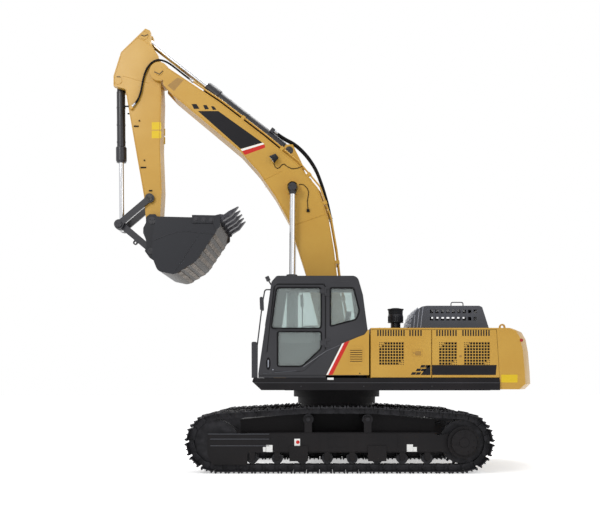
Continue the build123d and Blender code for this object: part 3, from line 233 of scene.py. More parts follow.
# %% Hard chrome
def hard_chrome():
    material, tree, shader, where = new_finish("hard_chrome_plate", metallic=1.0)
    shader.inputs["Base Color"].default_value = linear("#cfd0d3")
    wiped = add(tree, "TexNoise", {"Scale": 8.0}, {"Vector": where}).outputs["Fac"]
    polish = add(tree, "MapRange", {"From Min": 0.3, "From Max": 0.7, "To Min": 0.16, "To Max": 0.2},
                 {"Value": wiped})
    tree.links.new(polish.outputs[0], shader.inputs["Roughness"])
    return material


CHROME = hard_chrome()
print("rods:", CHROME.name)

# %% [markdown]
# ### Bucket, from paint to bare metal
# A bucket is painted black. Digging scours the belly between its side plates to brown-grey steel, and
# leaves the sides painted. The shader reads how far a point is from the middle and from the front, so
# the sides and the ears stay black, and noise makes the border between them ragged.

# %% Half-worn bucket paint
SIDE_PLATE_INSIDE = 0.790
EARS_END_X = -2.95


def half_worn_paint():
    material, tree, shader, where = new_finish("half_worn_bucket_paint")
    shader.inputs["Specular IOR Level"].default_value = 0.3
    place = add(tree, "SeparateXYZ", {}, {0: where})
    torn = add(tree, "TexNoise", {"Scale": 1 / 0.15, "Detail": 5.0}, {"Vector": where}).outputs["Fac"]
    across = add(tree, "Math", {"operation": "ABSOLUTE"}, {0: place.outputs["Y"]}).outputs[0]
    side = add(tree, "Math", {"operation": "GREATER_THAN", 1: SIDE_PLATE_INSIDE}, {0: across}).outputs[0]
    ragged = add(tree, "MapRange", {"To Min": -0.10, "To Max": 0.10}, {"Value": torn}).outputs[0]
    along = add(tree, "Math", {"operation": "ADD"}, {0: place.outputs["X"], 1: ragged}).outputs[0]
    rear = add(tree, "MapRange", {"From Min": EARS_END_X + 0.10, "From Max": EARS_END_X - 0.05},
               {"Value": along}).outputs[0]
    painted = add(tree, "Math", {"operation": "MAXIMUM"}, {0: side, 1: rear}).outputs[0]
    grime = add(tree, "TexNoise", {"Scale": 1 / 0.12, "Detail": 3.0}, {"Vector": where}).outputs["Fac"]
    bare = add(tree, "Mix", {"data_type": "RGBA", 6: linear("#33302c"), 7: linear("#4f4842")}, {0: grime})
    skin = add(tree, "Mix", {"data_type": "RGBA", 7: linear("#212227")}, {0: painted, 6: bare.outputs[2]})
    tree.links.new(skin.outputs[2], shader.inputs["Base Color"])
    gloss = add(tree, "MapRange", {"To Min": 0.5, "To Max": 0.38}, {"Value": painted})
    tree.links.new(gloss.outputs[0], shader.inputs["Roughness"])
    scratches = add(tree, "TexNoise", {"Scale": 1 / SCRATCH_SIZE, "Detail": 3.0}, {"Vector": where})
    bumps = add(tree, "Bump", {"Strength": 0.25, "Distance": 0.0008}, {"Height": scratches.outputs["Fac"]})
    tree.links.new(bumps.outputs[0], shader.inputs["Normal"])
    return material


BUCKET_PAINT = half_worn_paint()
print(BUCKET_PAINT.name, "is painted outside y =", SIDE_PLATE_INSIDE, "and behind x =", EARS_END_X)

# %% [markdown]
# ### Glass, rubber and cab trim
# Cab glass is toughened sheet, IOR 1.52, which passes light with a grey-green tint, and a film of dust
# on it scatters a seventh of that light. The trim is moulded ABS with a leather grain, and hoses and
# gaskets are black rubber. The grain of the real trim is about 1 mm, and 4 mm here, which is as fine
# as a view of a whole machine can hold.

# %% Glass, rubber and trim
def safety_glass():
    material, tree, shader, where = new_finish("tinted_safety_glass")
    shader.inputs["Base Color"].default_value = linear("#dbe7e5")
    shader.inputs["Transmission Weight"].default_value = 0.86
    shader.inputs["IOR"].default_value = 1.52
    smears = add(tree, "TexNoise", {"Scale": 3.0}, {"Vector": where}).outputs["Fac"]
    haze = add(tree, "MapRange", {"From Min": 0.3, "From Max": 0.7, "To Max": 0.03}, {"Value": smears})
    tree.links.new(haze.outputs[0], shader.inputs["Roughness"])
    return material


def moulded(name, colour, shade, roughness, grain, depth=0.0006):
    material, tree, shader, where = new_finish(name)
    shader.inputs["Specular IOR Level"].default_value = 0.15
    patches = add(tree, "TexNoise", {"Scale": 5.0}, {"Vector": where}).outputs["Fac"]
    faded = add(tree, "Mix", {"data_type": "RGBA", 6: linear(colour), 7: linear(shade)}, {0: patches})
    tree.links.new(faded.outputs[2], shader.inputs["Base Color"])
    sheen = add(tree, "MapRange", {"From Min": 0.3, "From Max": 0.7, "To Min": roughness,
                                   "To Max": roughness + 0.1}, {"Value": patches})
    tree.links.new(sheen.outputs[0], shader.inputs["Roughness"])
    cells = add(tree, "TexVoronoi", {"Scale": 1 / grain}, {"Vector": where}).outputs["Distance"]
    bumps = add(tree, "Bump", {"Strength": 0.4, "Distance": depth}, {"Height": cells})
    tree.links.new(bumps.outputs[0], shader.inputs["Normal"])
    return material


GLASS = safety_glass()
# The black rubber also paints shade: the dark slots on the hood's top and the door's hand well.
RUBBER_AND_SHADE = moulded("moulded_rubber_and_painted_shade", "#09090b", "#141416", 0.6, 0.004)
# The dark trim also paints shade: the sheets behind the house's grilles and the strips between the louvre
# blades.
TRIM_AND_SHADE = moulded("moulded_abs_trim_and_painted_shade", "#1d1e20", "#2c2d30", 0.55, 0.004)
SEAT_CLOTH = moulded("woven_seat_cloth", "#1b1c20", "#2a2b30", 0.85, 0.003)
TREAD = moulded("anti_slip_tread", "#232327", "#303036", 0.6, 0.02, 0.002)
print("glass and moulded finishes:", [m.name for m in (GLASS, RUBBER_AND_SHADE, TRIM_AND_SHADE, SEAT_CLOTH, TREAD)])

# %% [markdown]
# ### Film and lenses
# Stripes and bands are cut from cast vinyl film, a tenth of a millimetre thick and glossier than the
# enamel under it. Lamp lenses are clear or red acrylic.

# %% Film and lenses
SUN_FADED = 1.12         # how much lighter the film is where the sun has faded it


def vinyl(name, colour):
    material, tree, shader, where = new_finish(name)
    shader.inputs["Specular IOR Level"].default_value = 0.15
    faded = add(tree, "TexNoise", {"Scale": 4.0, "Detail": 3.0}, {"Vector": where}).outputs["Fac"]
    light = [SUN_FADED * c for c in linear(colour)[:3]] + [1.0]
    shade = add(tree, "Mix", {"data_type": "RGBA", 6: linear(colour), 7: light}, {0: faded}).outputs[2]
    tree.links.new(shade, shader.inputs["Base Color"])
    gloss = add(tree, "MapRange", {"To Min": 0.22, "To Max": 0.34}, {"Value": faded}).outputs[0]
    tree.links.new(gloss, shader.inputs["Roughness"])
    return material


def clear_lens(name, colour, weight):
    material, tree, shader, where = new_finish(name, 0.08)
    shader.inputs["Base Color"].default_value = linear(colour)
    shader.inputs["Transmission Weight"].default_value = weight
    shader.inputs["IOR"].default_value = 1.49
    flutes = add(tree, "TexWave", {"Scale": 40.0}, {"Vector": where}).outputs["Fac"]
    bumps = add(tree, "Bump", {"Strength": 0.3, "Distance": 0.001}, {"Height": flutes})
    tree.links.new(bumps.outputs[0], shader.inputs["Normal"])
    return material


# The black film also paints shade: the small holes and the slots of the house's grilles.
BLACK_FILM_AND_SHADE = vinyl("black_vinyl_film_and_painted_shade", "#1d1c1f")
RED_FILM = vinyl("red_vinyl_film", "#c5322d")
WHITE_FILM = vinyl("white_vinyl_film", "#ececea")
YELLOW_FILM = vinyl("yellow_vinyl_film", "#d9b92e")
LAMP_LENS = clear_lens("fluted_lamp_lens", "#e8ebec", 0.6)
RED_LENS = clear_lens("red_lamp_lens", "#b3221c", 0.3)
films = (BLACK_FILM_AND_SHADE, RED_FILM, WHITE_FILM, YELLOW_FILM, LAMP_LENS, RED_LENS)
print("films and lenses:", [m.name for m in films])

# %% [markdown]
# ### Each CAD piece gets its finish
# The record names a slot for every CAD piece, so most finishes are looked up. A few pieces of a slot
# look different on the real machine: the hood is grey, and the bucket is half worn.

# %% Give every CAD node its finish
SLOT_FINISH = {
    "yellow_paint": YELLOW, "black_paint": BLACK, "dark_steel": PIN_STEEL, "track_steel": TRACK_STEEL,
    "engine_iron": ENGINE_IRON, "cab_glass": GLASS, "seat_fabric": SEAT_CLOTH, "interior_plastic": TRIM_AND_SHADE,
    "rubber": RUBBER_AND_SHADE, "chrome_rod": CHROME, "worn_steel": BUCKET_STEEL,
}
NODE_FINISH = {
    "bucket": BUCKET_PAINT, "bucket_teeth": TOOTH_STEEL, "engine_hood": HOOD_GREY_AND_HIGHLIGHT,
    "idlers": TRACK_STEEL, "sprockets": TRACK_STEEL, "track_rollers": TRACK_STEEL,
    "track_frame_left": CHASSIS_BLACK, "track_frame_right": CHASSIS_BLACK, "carbody": CHASSIS_BLACK,
    "travel_drives": CHASSIS_BLACK, "main_frame": CHASSIS_BLACK, "side_decks": CHASSIS_BLACK,
    "slew_ring_upper": CHASSIS_BLACK, "slew_ring_lower": CHASSIS_BLACK,
}
for entry in frame["record"]["subparts"]:
    thing = frame["nodes"][entry["node"]]
    thing.data.materials.clear()
    thing.data.materials.append(NODE_FINISH.get(entry["node"], SLOT_FINISH[entry["material_slot"]]))
print(len(frame["nodes"]), "CAD pieces have a finish")

# %% [markdown]
# ## Shapes that are used again
# Most small pieces of a welded machine are flame-cut plates, square blocks and turned bars. Each can
# be made from one bmesh operator: a face that is extruded, a cube that is stretched, or a cone with
# equal ends. A few helpers do that, and the last one closes the mesh and hands it over to its body.

# %% Plates and frames
def raise_faces(bm, faces, run):
    """Extrude faces along a vector, and keep the first ones as the back of the solid."""
    made = bmesh.ops.extrude_face_region(bm, geom=faces)["geom"]
    moved = [v for v in made if isinstance(v, bmesh.types.BMVert)]
    bmesh.ops.translate(bm, vec=run, verts=moved)


def rect(x0, z0, x1, z1):
    """The (x, z) corners of a rectangle."""
    return [(x0, z0), (x1, z0), (x1, z1), (x0, z1)]


def flat_face(bm, outline, y, corner):
    """One face with an outline of (x, z) points at a place y, its corners rounded by a radius."""
    face = bm.faces.new([bm.verts.new((x, y, z)) for x, z in outline])
    if corner:
        bmesh.ops.bevel(bm, geom=list(face.verts), offset=corner, offset_type="OFFSET", segments=4,
                        profile=0.5, affect="VERTICES", material=-1)
        bm.faces.ensure_lookup_table()
        face = bm.faces[-1]
    return face


def plate(bm, outline, near, far, corner=0.0):
    """A plate with an outline of (x, z) points, from y = near to y = far."""
    raise_faces(bm, [flat_face(bm, outline, near, corner)], (0, far - near, 0))


def surround(bm, outline, width, near, far, corner=0.0):
    """A flat frame inside an outline: the face is inset, and its middle is left open."""
    face = flat_face(bm, outline, near, corner)
    rim = bmesh.ops.inset_region(bm, faces=[face], thickness=width, use_even_offset=True,
                                  use_boundary=True)["faces"]
    bmesh.ops.delete(bm, geom=[face], context="FACES_ONLY")
    raise_faces(bm, rim, (0, far - near, 0))


# %% Blocks and bars
def block(bm, low, high, edge=0.0):
    """A block between two corners, with its edges rounded if edge is given."""
    low, high = Vector(low), Vector(high)
    place = Matrix.Translation((low + high) / 2) @ Matrix.Diagonal((*(high - low), 1))
    corners = bmesh.ops.create_cube(bm, size=1, matrix=place)["verts"]
    if edge:
        edges = list({e for v in corners for e in v.link_edges})
        bmesh.ops.bevel(bm, geom=edges, offset=edge, offset_type="OFFSET", segments=2, profile=0.5,
                        affect="EDGES", material=-1)


def bar(bm, start, end, radius, sides=20, end_radius=None):
    """A round bar from one point to another, or a cone if its end has another radius."""
    start, end = Vector(start), Vector(end)
    turn = (end - start).to_track_quat("Z", "Y").to_matrix().to_4x4()
    place = Matrix.Translation((start + end) / 2) @ turn
    far = radius if end_radius is None else end_radius
    bmesh.ops.create_cone(bm, cap_ends=True, segments=sides, radius1=radius, radius2=far,
                          depth=(end - start).length, matrix=place)


def bead(bm, points, radius, sides=8):
    """A weld or a thin tube: a bar from each point to the next."""
    for start, end in zip(points, points[1:]):
        bar(bm, start, end, radius, sides)


def join(bm, other):
    """Add a finished mesh to a larger one, and drop it."""
    scratch = bpy.data.meshes.new("scratch")
    other.to_mesh(scratch)
    other.free()
    bm.from_mesh(scratch)
    bpy.data.meshes.remove(scratch)


# %% Turned rings and circles of bolts
def sleeve(bm, start, along, profile, sides=32):
    """A turned ring: a closed profile of (distance, radius) points, revolved round a line."""
    turn = along.to_track_quat("Z", "Y").to_matrix()
    rings = []
    for i in range(sides):
        angle = 2 * math.pi * i / sides
        out = turn @ Vector((math.cos(angle), math.sin(angle), 0))
        rings.append([bm.verts.new(start + distance * along + radius * out)
                      for distance, radius in profile])
    for i, ring in enumerate(rings):
        after = rings[(i + 1) % sides]
        for k in range(len(profile)):
            bm.faces.new([ring[k], ring[k - 1], after[k - 1], after[k]])


def bolt_ring(bm, centre, axis, ring, count, head, height, first=0.0):
    """Hexagon bolt heads on a circle. The axis is a unit vector that points out of the surface."""
    centre, axis = Vector(centre), Vector(axis)
    turn = axis.to_track_quat("Z", "Y").to_matrix()
    for i in range(count):
        angle = math.radians(first) + 2 * math.pi * i / count
        foot = centre + turn @ Vector((ring * math.cos(angle), ring * math.sin(angle), 0))
        bar(bm, foot - 0.001 * axis, foot + height * axis, head, 6)


# %% Close a mesh and hand it over
def piece(name, bm, finish, body):
    """Merge doubles, turn the faces outward, and let the piece ride on its body."""
    bmesh.ops.remove_doubles(bm, verts=bm.verts, dist=0.00002)
    bmesh.ops.recalc_face_normals(bm, faces=bm.faces)
    mesh = bpy.data.meshes.new(name)
    bm.to_mesh(mesh)
    bm.free()
    thing = bpy.data.objects.new(name, mesh)
    bpy.context.collection.objects.link(thing)
    mesh.materials.append(finish)
    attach(thing, body)
    print(name, len(mesh.polygons), "faces")
    return thing


# %% [markdown]
# ## Hydraulic hoses
# Two pairs of hoses are free lengths. One pair leaves the pipes on the boom's back and enters the
# stick cylinder's base. The other goes over the boom's tip into the stick. Rubber hose of this size
# is stiff, so each lies in one smooth curve, held by a crimped steel ferrule at both ends. A NURBS
# line through a few points gives that curve.

# %% A hose along a smooth line
def hose_line(name, points):
    data = bpy.data.curves.new(name, "CURVE")
    data.dimensions = "3D"
    line = data.splines.new("NURBS")
    line.points.add(len(points) - 1)
    for point, place in zip(line.points, points):
        point.co = (*place, 1)
    line.order_u = 3
    line.use_endpoint_u = True
    data.resolution_u = 8
    return bpy.data.objects.new(name + "_line", data)


def line_points(line):
    mesh = bpy.data.meshes.new_from_object(line)
    return [v.co.copy() for v in mesh.vertices]


def hose(name, points, radius, node):
    """A hose piece: its line and its tube, and the CAD node that it stands in for is hidden."""
    line = hose_line(name, points)
    path = line_points(line)
    line.data.bevel_depth = radius
    line.data.bevel_resolution = 3
    line.data.use_fill_caps = True
    mesh = bpy.data.meshes.new_from_object(line)
    tube = bpy.data.objects.new(name, mesh)
    bpy.context.collection.objects.link(tube)
    mesh.materials.clear()
    mesh.materials.append(RUBBER_AND_SHADE)
    for face in mesh.polygons:
        face.use_smooth = True
    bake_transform(tube)
    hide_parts(node)
    return path


# %% The four hoses
STICK_HOSE = [
    (-0.097, 0.110, 4.373), (-0.140, 0.110, 4.585), (-0.200, 0.110, 4.810), (-0.274, 0.110, 5.040),
    (-0.370, 0.100, 5.290), (-0.530, 0.085, 5.530), (-0.735, 0.065, 5.730), (-0.9648, 0.060, 5.8442),
    (-1.1060, 0.060, 5.9550),
]
TIP_HOSE = [
    (-2.535, 0.232, 6.783), (-2.700, 0.232, 6.905), (-2.860, 0.232, 7.035), (-3.015, 0.232, 7.145),
    (-3.190, 0.232, 7.180), (-3.345, 0.232, 7.050), (-3.420, 0.232, 6.830), (-3.455, 0.232, 6.600),
    (-3.520, 0.232, 6.430), (-3.610, 0.232, 6.345),
]
STICK_HOSE_R = 0.022
TIP_HOSE_R = 0.017
hose_ends = []
for side, hand in ((-1, "left"), (1, "right")):
    for name, route, radius, node, bodies in (
        ("stick_cylinder_hose_", STICK_HOSE, STICK_HOSE_R, "stick_cylinder_hoses",
         ("boom", "stick_barrel")),
        ("tip_hose_", TIP_HOSE, TIP_HOSE_R, "tip_hoses", ("boom", "stick")),
    ):
        path = hose(name + hand, [(x, side * y, z) for x, y, z in route], radius, node)
        hose_ends.append((path[0], path[1], radius, bodies[0]))
        hose_ends.append((path[-1], path[-2], radius, bodies[1]))

# %% [markdown]
# ### Ferrules
# Each hose end is crimped into a plated steel ferrule with a hexagon nut behind it. They are short
# turned bars on the hose's end line, and ride on the body that the end is screwed into.

# %% Crimped ferrules and nuts
for body in ("boom", "stick_barrel", "stick"):
    bm = bmesh.new()
    for end, inner, radius, owner in hose_ends:
        if owner == body:
            run = (inner - end).normalized()
            bar(bm, end + 0.004 * run, end + 0.075 * run, radius * 1.22, 16)
            bar(bm, end + 0.001 * run, end + 0.022 * run, radius * 1.5, 6)
    piece("hose_ferrules_" + body, bm, ZINC, body)

# %% [markdown]
# ## Tracks
# A track is a chain of forged links that runs on the rollers, with a rolled steel shoe bolted to each
# link. Three low bars across a shoe, the grousers, bite the ground. The chain's pins lie on a line of
# runs and arcs round the wheels, so one function walks along it, and each shoe is put on the chord
# between two pins, as on the real chain.

# %% Where the chain's pins are
WHEELS = [(2.04, 0.5, 0.3595), (0.485, 0.87, 0.085), (-0.485, 0.87, 0.085), (-1.99, 0.5, 0.3595)]
PIN_LINE = 0.0505        # the pins' height over the wheels' rims
SHOES = 50
TRACK_Y = 1.295          # the middle of each track
ARC_STEPS = 40


def chain_pins():
    """The pins' places (x, z) round the four wheels, evenly spaced, on runs and arcs."""
    runs = []
    for (x1, z1, r1), (x2, z2, r2) in zip(WHEELS, WHEELS[1:] + WHEELS[:1]):
        along = Vector((x2 - x1, z2 - z1))
        lean = (r1 - r2) / along.length
        along.normalize()
        out = lean * along + math.sqrt(1 - lean * lean) * Vector((along.y, -along.x))
        start = Vector((x1, z1)) + (r1 + PIN_LINE) * out
        runs.append((start, Vector((x2, z2)) + (r2 + PIN_LINE) * out, out))
    line = []
    for i, (x, z, r) in enumerate(WHEELS):
        before, after = runs[i - 1][2], runs[i][2]
        first = math.atan2(before.y, before.x)
        sweep = (math.atan2(after.y, after.x) - first) % (2 * math.pi)
        for step in range(ARC_STEPS + 1):
            angle = first + sweep * step / ARC_STEPS
            line.append(Vector((x, z)) + (r + PIN_LINE) * Vector((math.cos(angle), math.sin(angle))))
    line.append(line[0])
    total = sum((b - a).length for a, b in zip(line, line[1:]))
    pins, walked, target = [], 0.0, 0.0
    for a, b in zip(line, line[1:]):
        gap = (b - a).length
        while target < walked + gap and len(pins) < SHOES:
            pins.append(a + (b - a) * ((target - walked) / gap))
            target += total / SHOES
        walked += gap
    return pins


pins = chain_pins()
PITCH = (pins[1] - pins[0]).length
print(len(pins), "shoes at a pitch of", round(PITCH, 4), "m")

# %% [markdown]
# ### One shoe with its two links
# The shoe's section is drawn once, along the chain and out from it, and extruded across the track.
# Its ends are bent down, so that each laps over the next. A link's rear half stands outside the front
# half of the one behind it. There are a hundred shoes, so each is only a few dozen faces.

# %% Build a shoe
SHOE_HALF = 0.30
PLATE_LOW, PLATE_HIGH, GROUSER_TOP = 0.050, 0.064, 0.090
half = PITCH / 2 - 0.004
SHOE_SECTION = [
    (-half, PLATE_LOW - 0.010), (-half + 0.012, PLATE_LOW), (half - 0.012, PLATE_LOW),
    (half, PLATE_LOW - 0.004), (half, PLATE_HIGH), (half - 0.012, GROUSER_TOP),
    (half - 0.026, GROUSER_TOP), (half - 0.040, PLATE_HIGH),
    (0.012, PLATE_HIGH), (0.006, GROUSER_TOP - 0.004), (-0.006, GROUSER_TOP - 0.004), (-0.012, PLATE_HIGH),
    (-half + 0.040, PLATE_HIGH), (-half + 0.026, GROUSER_TOP), (-half + 0.012, GROUSER_TOP),
    (-half, PLATE_HIGH),
]
LINK_FRONT = [(-0.01, -0.040), (half - 0.01, -0.046), (half + 0.034, -0.020), (half + 0.034, 0.022),
              (half - 0.01, 0.049), (-0.01, 0.049)]
LINK_REAR = [(-half - 0.03, 0.022), (-half - 0.03, -0.020), (-half + 0.01, -0.046), (0.01, -0.040),
             (0.01, 0.049), (-half + 0.01, 0.049)]


def shoe(bm, first, second, track_y):
    """One shoe on the chord between two pins, with its links, its bolts and a pin."""
    along = (second - first).normalized()
    out = Vector((along.y, -along.x))
    middle = (first + second) / 2
    place = Matrix((
        (along.x, 0, out.x, middle.x), (0, 1, 0, track_y), (along.y, 0, out.y, middle.y), (0, 0, 0, 1),
    ))
    one = bmesh.new()
    plate(one, SHOE_SECTION, -SHOE_HALF, SHOE_HALF)
    for side in (-1, 1):
        plate(one, LINK_FRONT, side * 0.068, side * 0.090)
        plate(one, LINK_REAR, side * 0.092, side * 0.114)
        for x in (-0.028, 0.028):
            bar(one, (x, side * 0.10, PLATE_HIGH - 0.001), (x, side * 0.10, PLATE_HIGH + 0.013), 0.013, 6)
    bar(one, (-PITCH / 2, -0.122, 0), (-PITCH / 2, 0.122, 0), 0.022, 10)
    bmesh.ops.transform(one, matrix=place, verts=one.verts)
    join(bm, one)


for side, hand in ((-1, "left"), (1, "right")):
    bm = bmesh.new()
    for first, second in zip(pins, pins[1:] + pins[:1]):
        shoe(bm, first, second, side * TRACK_Y)
    chain = piece("track_shoes_" + hand, bm, TRACK_STEEL, "undercarriage")
    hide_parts("track_" + hand)

# %% [markdown]
# ## Track frames
# A travel motor hides in each sprocket, under a bolted cover. Rings of bolts, a filler plug and the
# sprocket's teeth are what the eye finds there. The teeth are short blocks on a circle, and each bolt
# is a six-sided bar.

# %% Travel drive covers, teeth and hubs
SPROCKET = (2.04, 0.5)
bm = bmesh.new()
for side in (-1, 1):
    axis = (0, side, 0)
    bolt_ring(bm, (SPROCKET[0], side * 1.515, SPROCKET[1]), axis, 0.234, 16, 0.015, 0.012)
    bolt_ring(bm, (SPROCKET[0], side * 1.562, SPROCKET[1]), axis, 0.172, 10, 0.016, 0.012, 9)
    middle = Vector((SPROCKET[0], side * 1.560, SPROCKET[1]))
    bar(bm, middle, middle + 0.014 * Vector(axis), 0.085, 32, 0.075)
    for x, z in ((-0.11, -0.03), (0.02, 0.12)):
        plug = middle + Vector((x, 0, z))
        bar(bm, plug, plug + 0.018 * Vector(axis), 0.018, 6)
piece("drive_cover_bolts", bm, CHASSIS_BLACK, "undercarriage")

TEETH = 21
bm = bmesh.new()
for side in (-1, 1):
    for i in range(TEETH):
        angle = 2 * math.pi * (i + 0.5) / TEETH
        out = Vector((math.cos(angle), 0, math.sin(angle)))
        middle = Vector((SPROCKET[0], side * TRACK_Y, SPROCKET[1]))
        bar(bm, middle + 0.335 * out, middle + 0.402 * out, 0.034, 4, 0.018)
piece("sprocket_teeth", bm, TRACK_STEEL, "undercarriage")

# %% [markdown]
# The beam between the wheels is a long welded box. Its ribs, grease cover, edge welds and the
# caps of the roller axles stand out as small shapes on its side.

# %% Ribs, covers and axle caps
BEAM_SIDE = 1.445
BEAM_INSIDE = 1.40       # where a cap's bar starts, well inside the beam
ROLLERS = 8
FIRST_ROLLER_X = -1.40
ROLLER_STEP = 0.40857
ROLLER_Z, CARRIER_Z = 0.2305, 0.87
bm = bmesh.new()
for side in (-1, 1):
    y = side * BEAM_SIDE
    out = side * 0.006
    for i in range(ROLLERS):
        x = FIRST_ROLLER_X + i * ROLLER_STEP
        bar(bm, (x, side * BEAM_INSIDE, ROLLER_Z), (x, side * 1.452, ROLLER_Z), 0.042, 16, 0.036)
    for x in (-0.485, 0.485):
        bar(bm, (x, side * BEAM_INSIDE, CARRIER_Z), (x, side * 1.449, CARRIER_Z), 0.040, 16)
    for z in (0.336, 0.651):
        bar(bm, (-1.10, y, z), (1.62, y, z), 0.007, 8)
    for x in (-0.98, -0.30, 0.30, 0.98):
        plate(bm, rect(x - 0.012, 0.35, x + 0.012, 0.63), y - out, y + out)
    plate(bm, rect(-0.16, 0.42, 0.16, 0.58), y - out, y + out, 0.03)
    for x in (-0.13, 0.13):
        for z in (0.45, 0.55):
            bar(bm, (x, y, z), (x, y + 2 * out, z), 0.011, 6)
piece("track_frame_ribs", bm, CHASSIS_BLACK, "undercarriage")

# %% [markdown]
# Four legs join the middle of the undercarriage to the beams. Each is a welded box that slopes down
# outward, so it is one plate outline with a width.

# %% Legs of the undercarriage
LEG = [(0.55, 0.45), (1.60, 0.45), (1.62, 0.86), (0.57, 0.96), (0.55, 0.96)]
bm = bmesh.new()
for end in (-1, 1):
    for side in (-1, 1):
        plate(bm, [(end * x, z) for x, z in LEG], side * 0.50, side * 1.14)
piece("frame_legs", bm, CHASSIS_BLACK, "undercarriage")

# %% [markdown]
# In front, a stepped guard plate closes the beam's end beside the idler. It is flame-cut, so it is one
# outline too, and its folded edges are thin bars of a lighter grey, a painted highlight along each fold.

# %% Guards beside the idlers
GUARD_SIDE = 1.452
GUARD = [(-2.126, 0.637), (-1.107, 0.637), (-1.107, 0.331), (-1.474, 0.331), (-1.474, 0.130),
         (-2.050, 0.130), (-2.126, 0.300)]
bm, folds = bmesh.new(), bmesh.new()
for side in (-1, 1):
    plate(bm, GUARD, side * (GUARD_SIDE - 0.022), side * GUARD_SIDE)
    for x0, z in ((-2.120, 0.632), (-2.080, 0.550), (-2.080, 0.440)):
        bar(folds, (x0, side * GUARD_SIDE, z), (-1.120, side * GUARD_SIDE, z), 0.006, 8)
piece("idler_guards", bm, CHASSIS_BLACK, "undercarriage")
piece("idler_guard_folds", folds, HOOD_GREY_AND_HIGHLIGHT, "undercarriage")

# %% [markdown]
# Blank film plates mark the lifting and jacking points of the beam, and one of them sits over a small
# red disc.

# %% Blank plates on the track frames
WHITE_PLATES = [(-1.170, -1.066, 0.340, 0.453), (-1.221, -1.175, 0.345, 0.420),
                (1.123, 1.222, 0.345, 0.463), (1.224, 1.286, 0.345, 0.420), (-0.710, -0.618, 0.433, 0.555)]
DISC_X, DISC_Z, DISC_R = -0.655, 0.500, 0.030
bm, reds = bmesh.new(), bmesh.new()
for side in (-1, 1):
    for x0, x1, z0, z1 in WHITE_PLATES:
        y = side * (GUARD_SIDE + 0.0005 if x1 < -1.05 else BEAM_SIDE + 0.0015)
        plate(bm, rect(x0, z0, x1, z1), y - side * 0.001, y + side * 0.001)
    bar(reds, (DISC_X, side * (BEAM_SIDE + 0.002), DISC_Z), (DISC_X, side * (BEAM_SIDE + 0.0035), DISC_Z),
        DISC_R, 24)
piece("frame_plates_white", bm, WHITE_FILM, "undercarriage")
piece("frame_plates_red", reds, RED_FILM, "undercarriage")

# %% [markdown]
# ## House
# The house is closed by sheet doors. Air enters through windows of perforated sheet. Such a sheet is
# punched, so it is built as it looks: a grid of faces, each face inset, the middles removed, and the
# bars that are left given a thickness. Two corners are cut off by bisecting planes.

# %% Perforated sheets in the windows
HOUSE_SIDE = 1.45
HOLE_PITCH = 0.046
WINDOW_Z = (1.757, 2.132)
WINDOW_CUT = 0.11


def perforated(bm, x0, x1, side):
    """A punched sheet from x0 to x1 in a side window, flush with the door's skin."""
    z0, z1 = WINDOW_Z
    columns, rows = round((x1 - x0) / HOLE_PITCH), round((z1 - z0) / HOLE_PITCH)
    sheet = bmesh.new()
    middle = Matrix.Translation(((x0 + x1) / 2, side * (HOUSE_SIDE - 0.006), (z0 + z1) / 2))
    place = middle @ Matrix.Rotation(math.pi / 2, 4, "X") @ Matrix.Diagonal((x1 - x0, z1 - z0, 1, 1))
    bmesh.ops.create_grid(sheet, x_segments=columns, y_segments=rows, size=0.5, matrix=place)
    cells = list(sheet.faces)
    bmesh.ops.inset_individual(sheet, faces=cells, thickness=HOLE_PITCH * 0.13, use_even_offset=True)
    bmesh.ops.delete(sheet, geom=cells, context="FACES_ONLY")
    for corner, normal in (((x1 - WINDOW_CUT, 0, z0), (1, 0, -1)), ((x0 + WINDOW_CUT, 0, z1), (-1, 0, 1))):
        everything = sheet.verts[:] + sheet.edges[:] + sheet.faces[:]
        bmesh.ops.bisect_plane(sheet, geom=everything, plane_co=corner, plane_no=normal, clear_outer=True)
    raise_faces(sheet, sheet.faces[:], (0, -side * 0.005, 0))
    join(bm, sheet)


GRILLES = [
    ("left_front_door", -1, [(0.669, 1.076)]), ("left_rear_door", -1, [(1.646, 1.940), (2.054, 2.477)]),
    ("right_front_panel", 1, [(0.669, 1.076)]), ("right_pump_door", 1, [(1.646, 1.940), (2.054, 2.477)]),
]
for name, side, windows in GRILLES:
    bm = bmesh.new()
    for x0, x1 in windows:
        perforated(bm, x0, x1, side)
    body = "upperstructure" if name == "right_front_panel" else name
    piece("punched_sheet_" + name, bm, YELLOW, body)

# %% [markdown]
# Small holes go on round the two cut corners, smaller towards the corner. Behind the thin skin there
# is only darkness, so a hole is painted shade: a flat dark disc that stands a hair proud of the sheet.
# The upright slots above the windows are dark plates of the same painted shade, and a dark sheet behind
# each window is painted shade seen through the grille's holes.

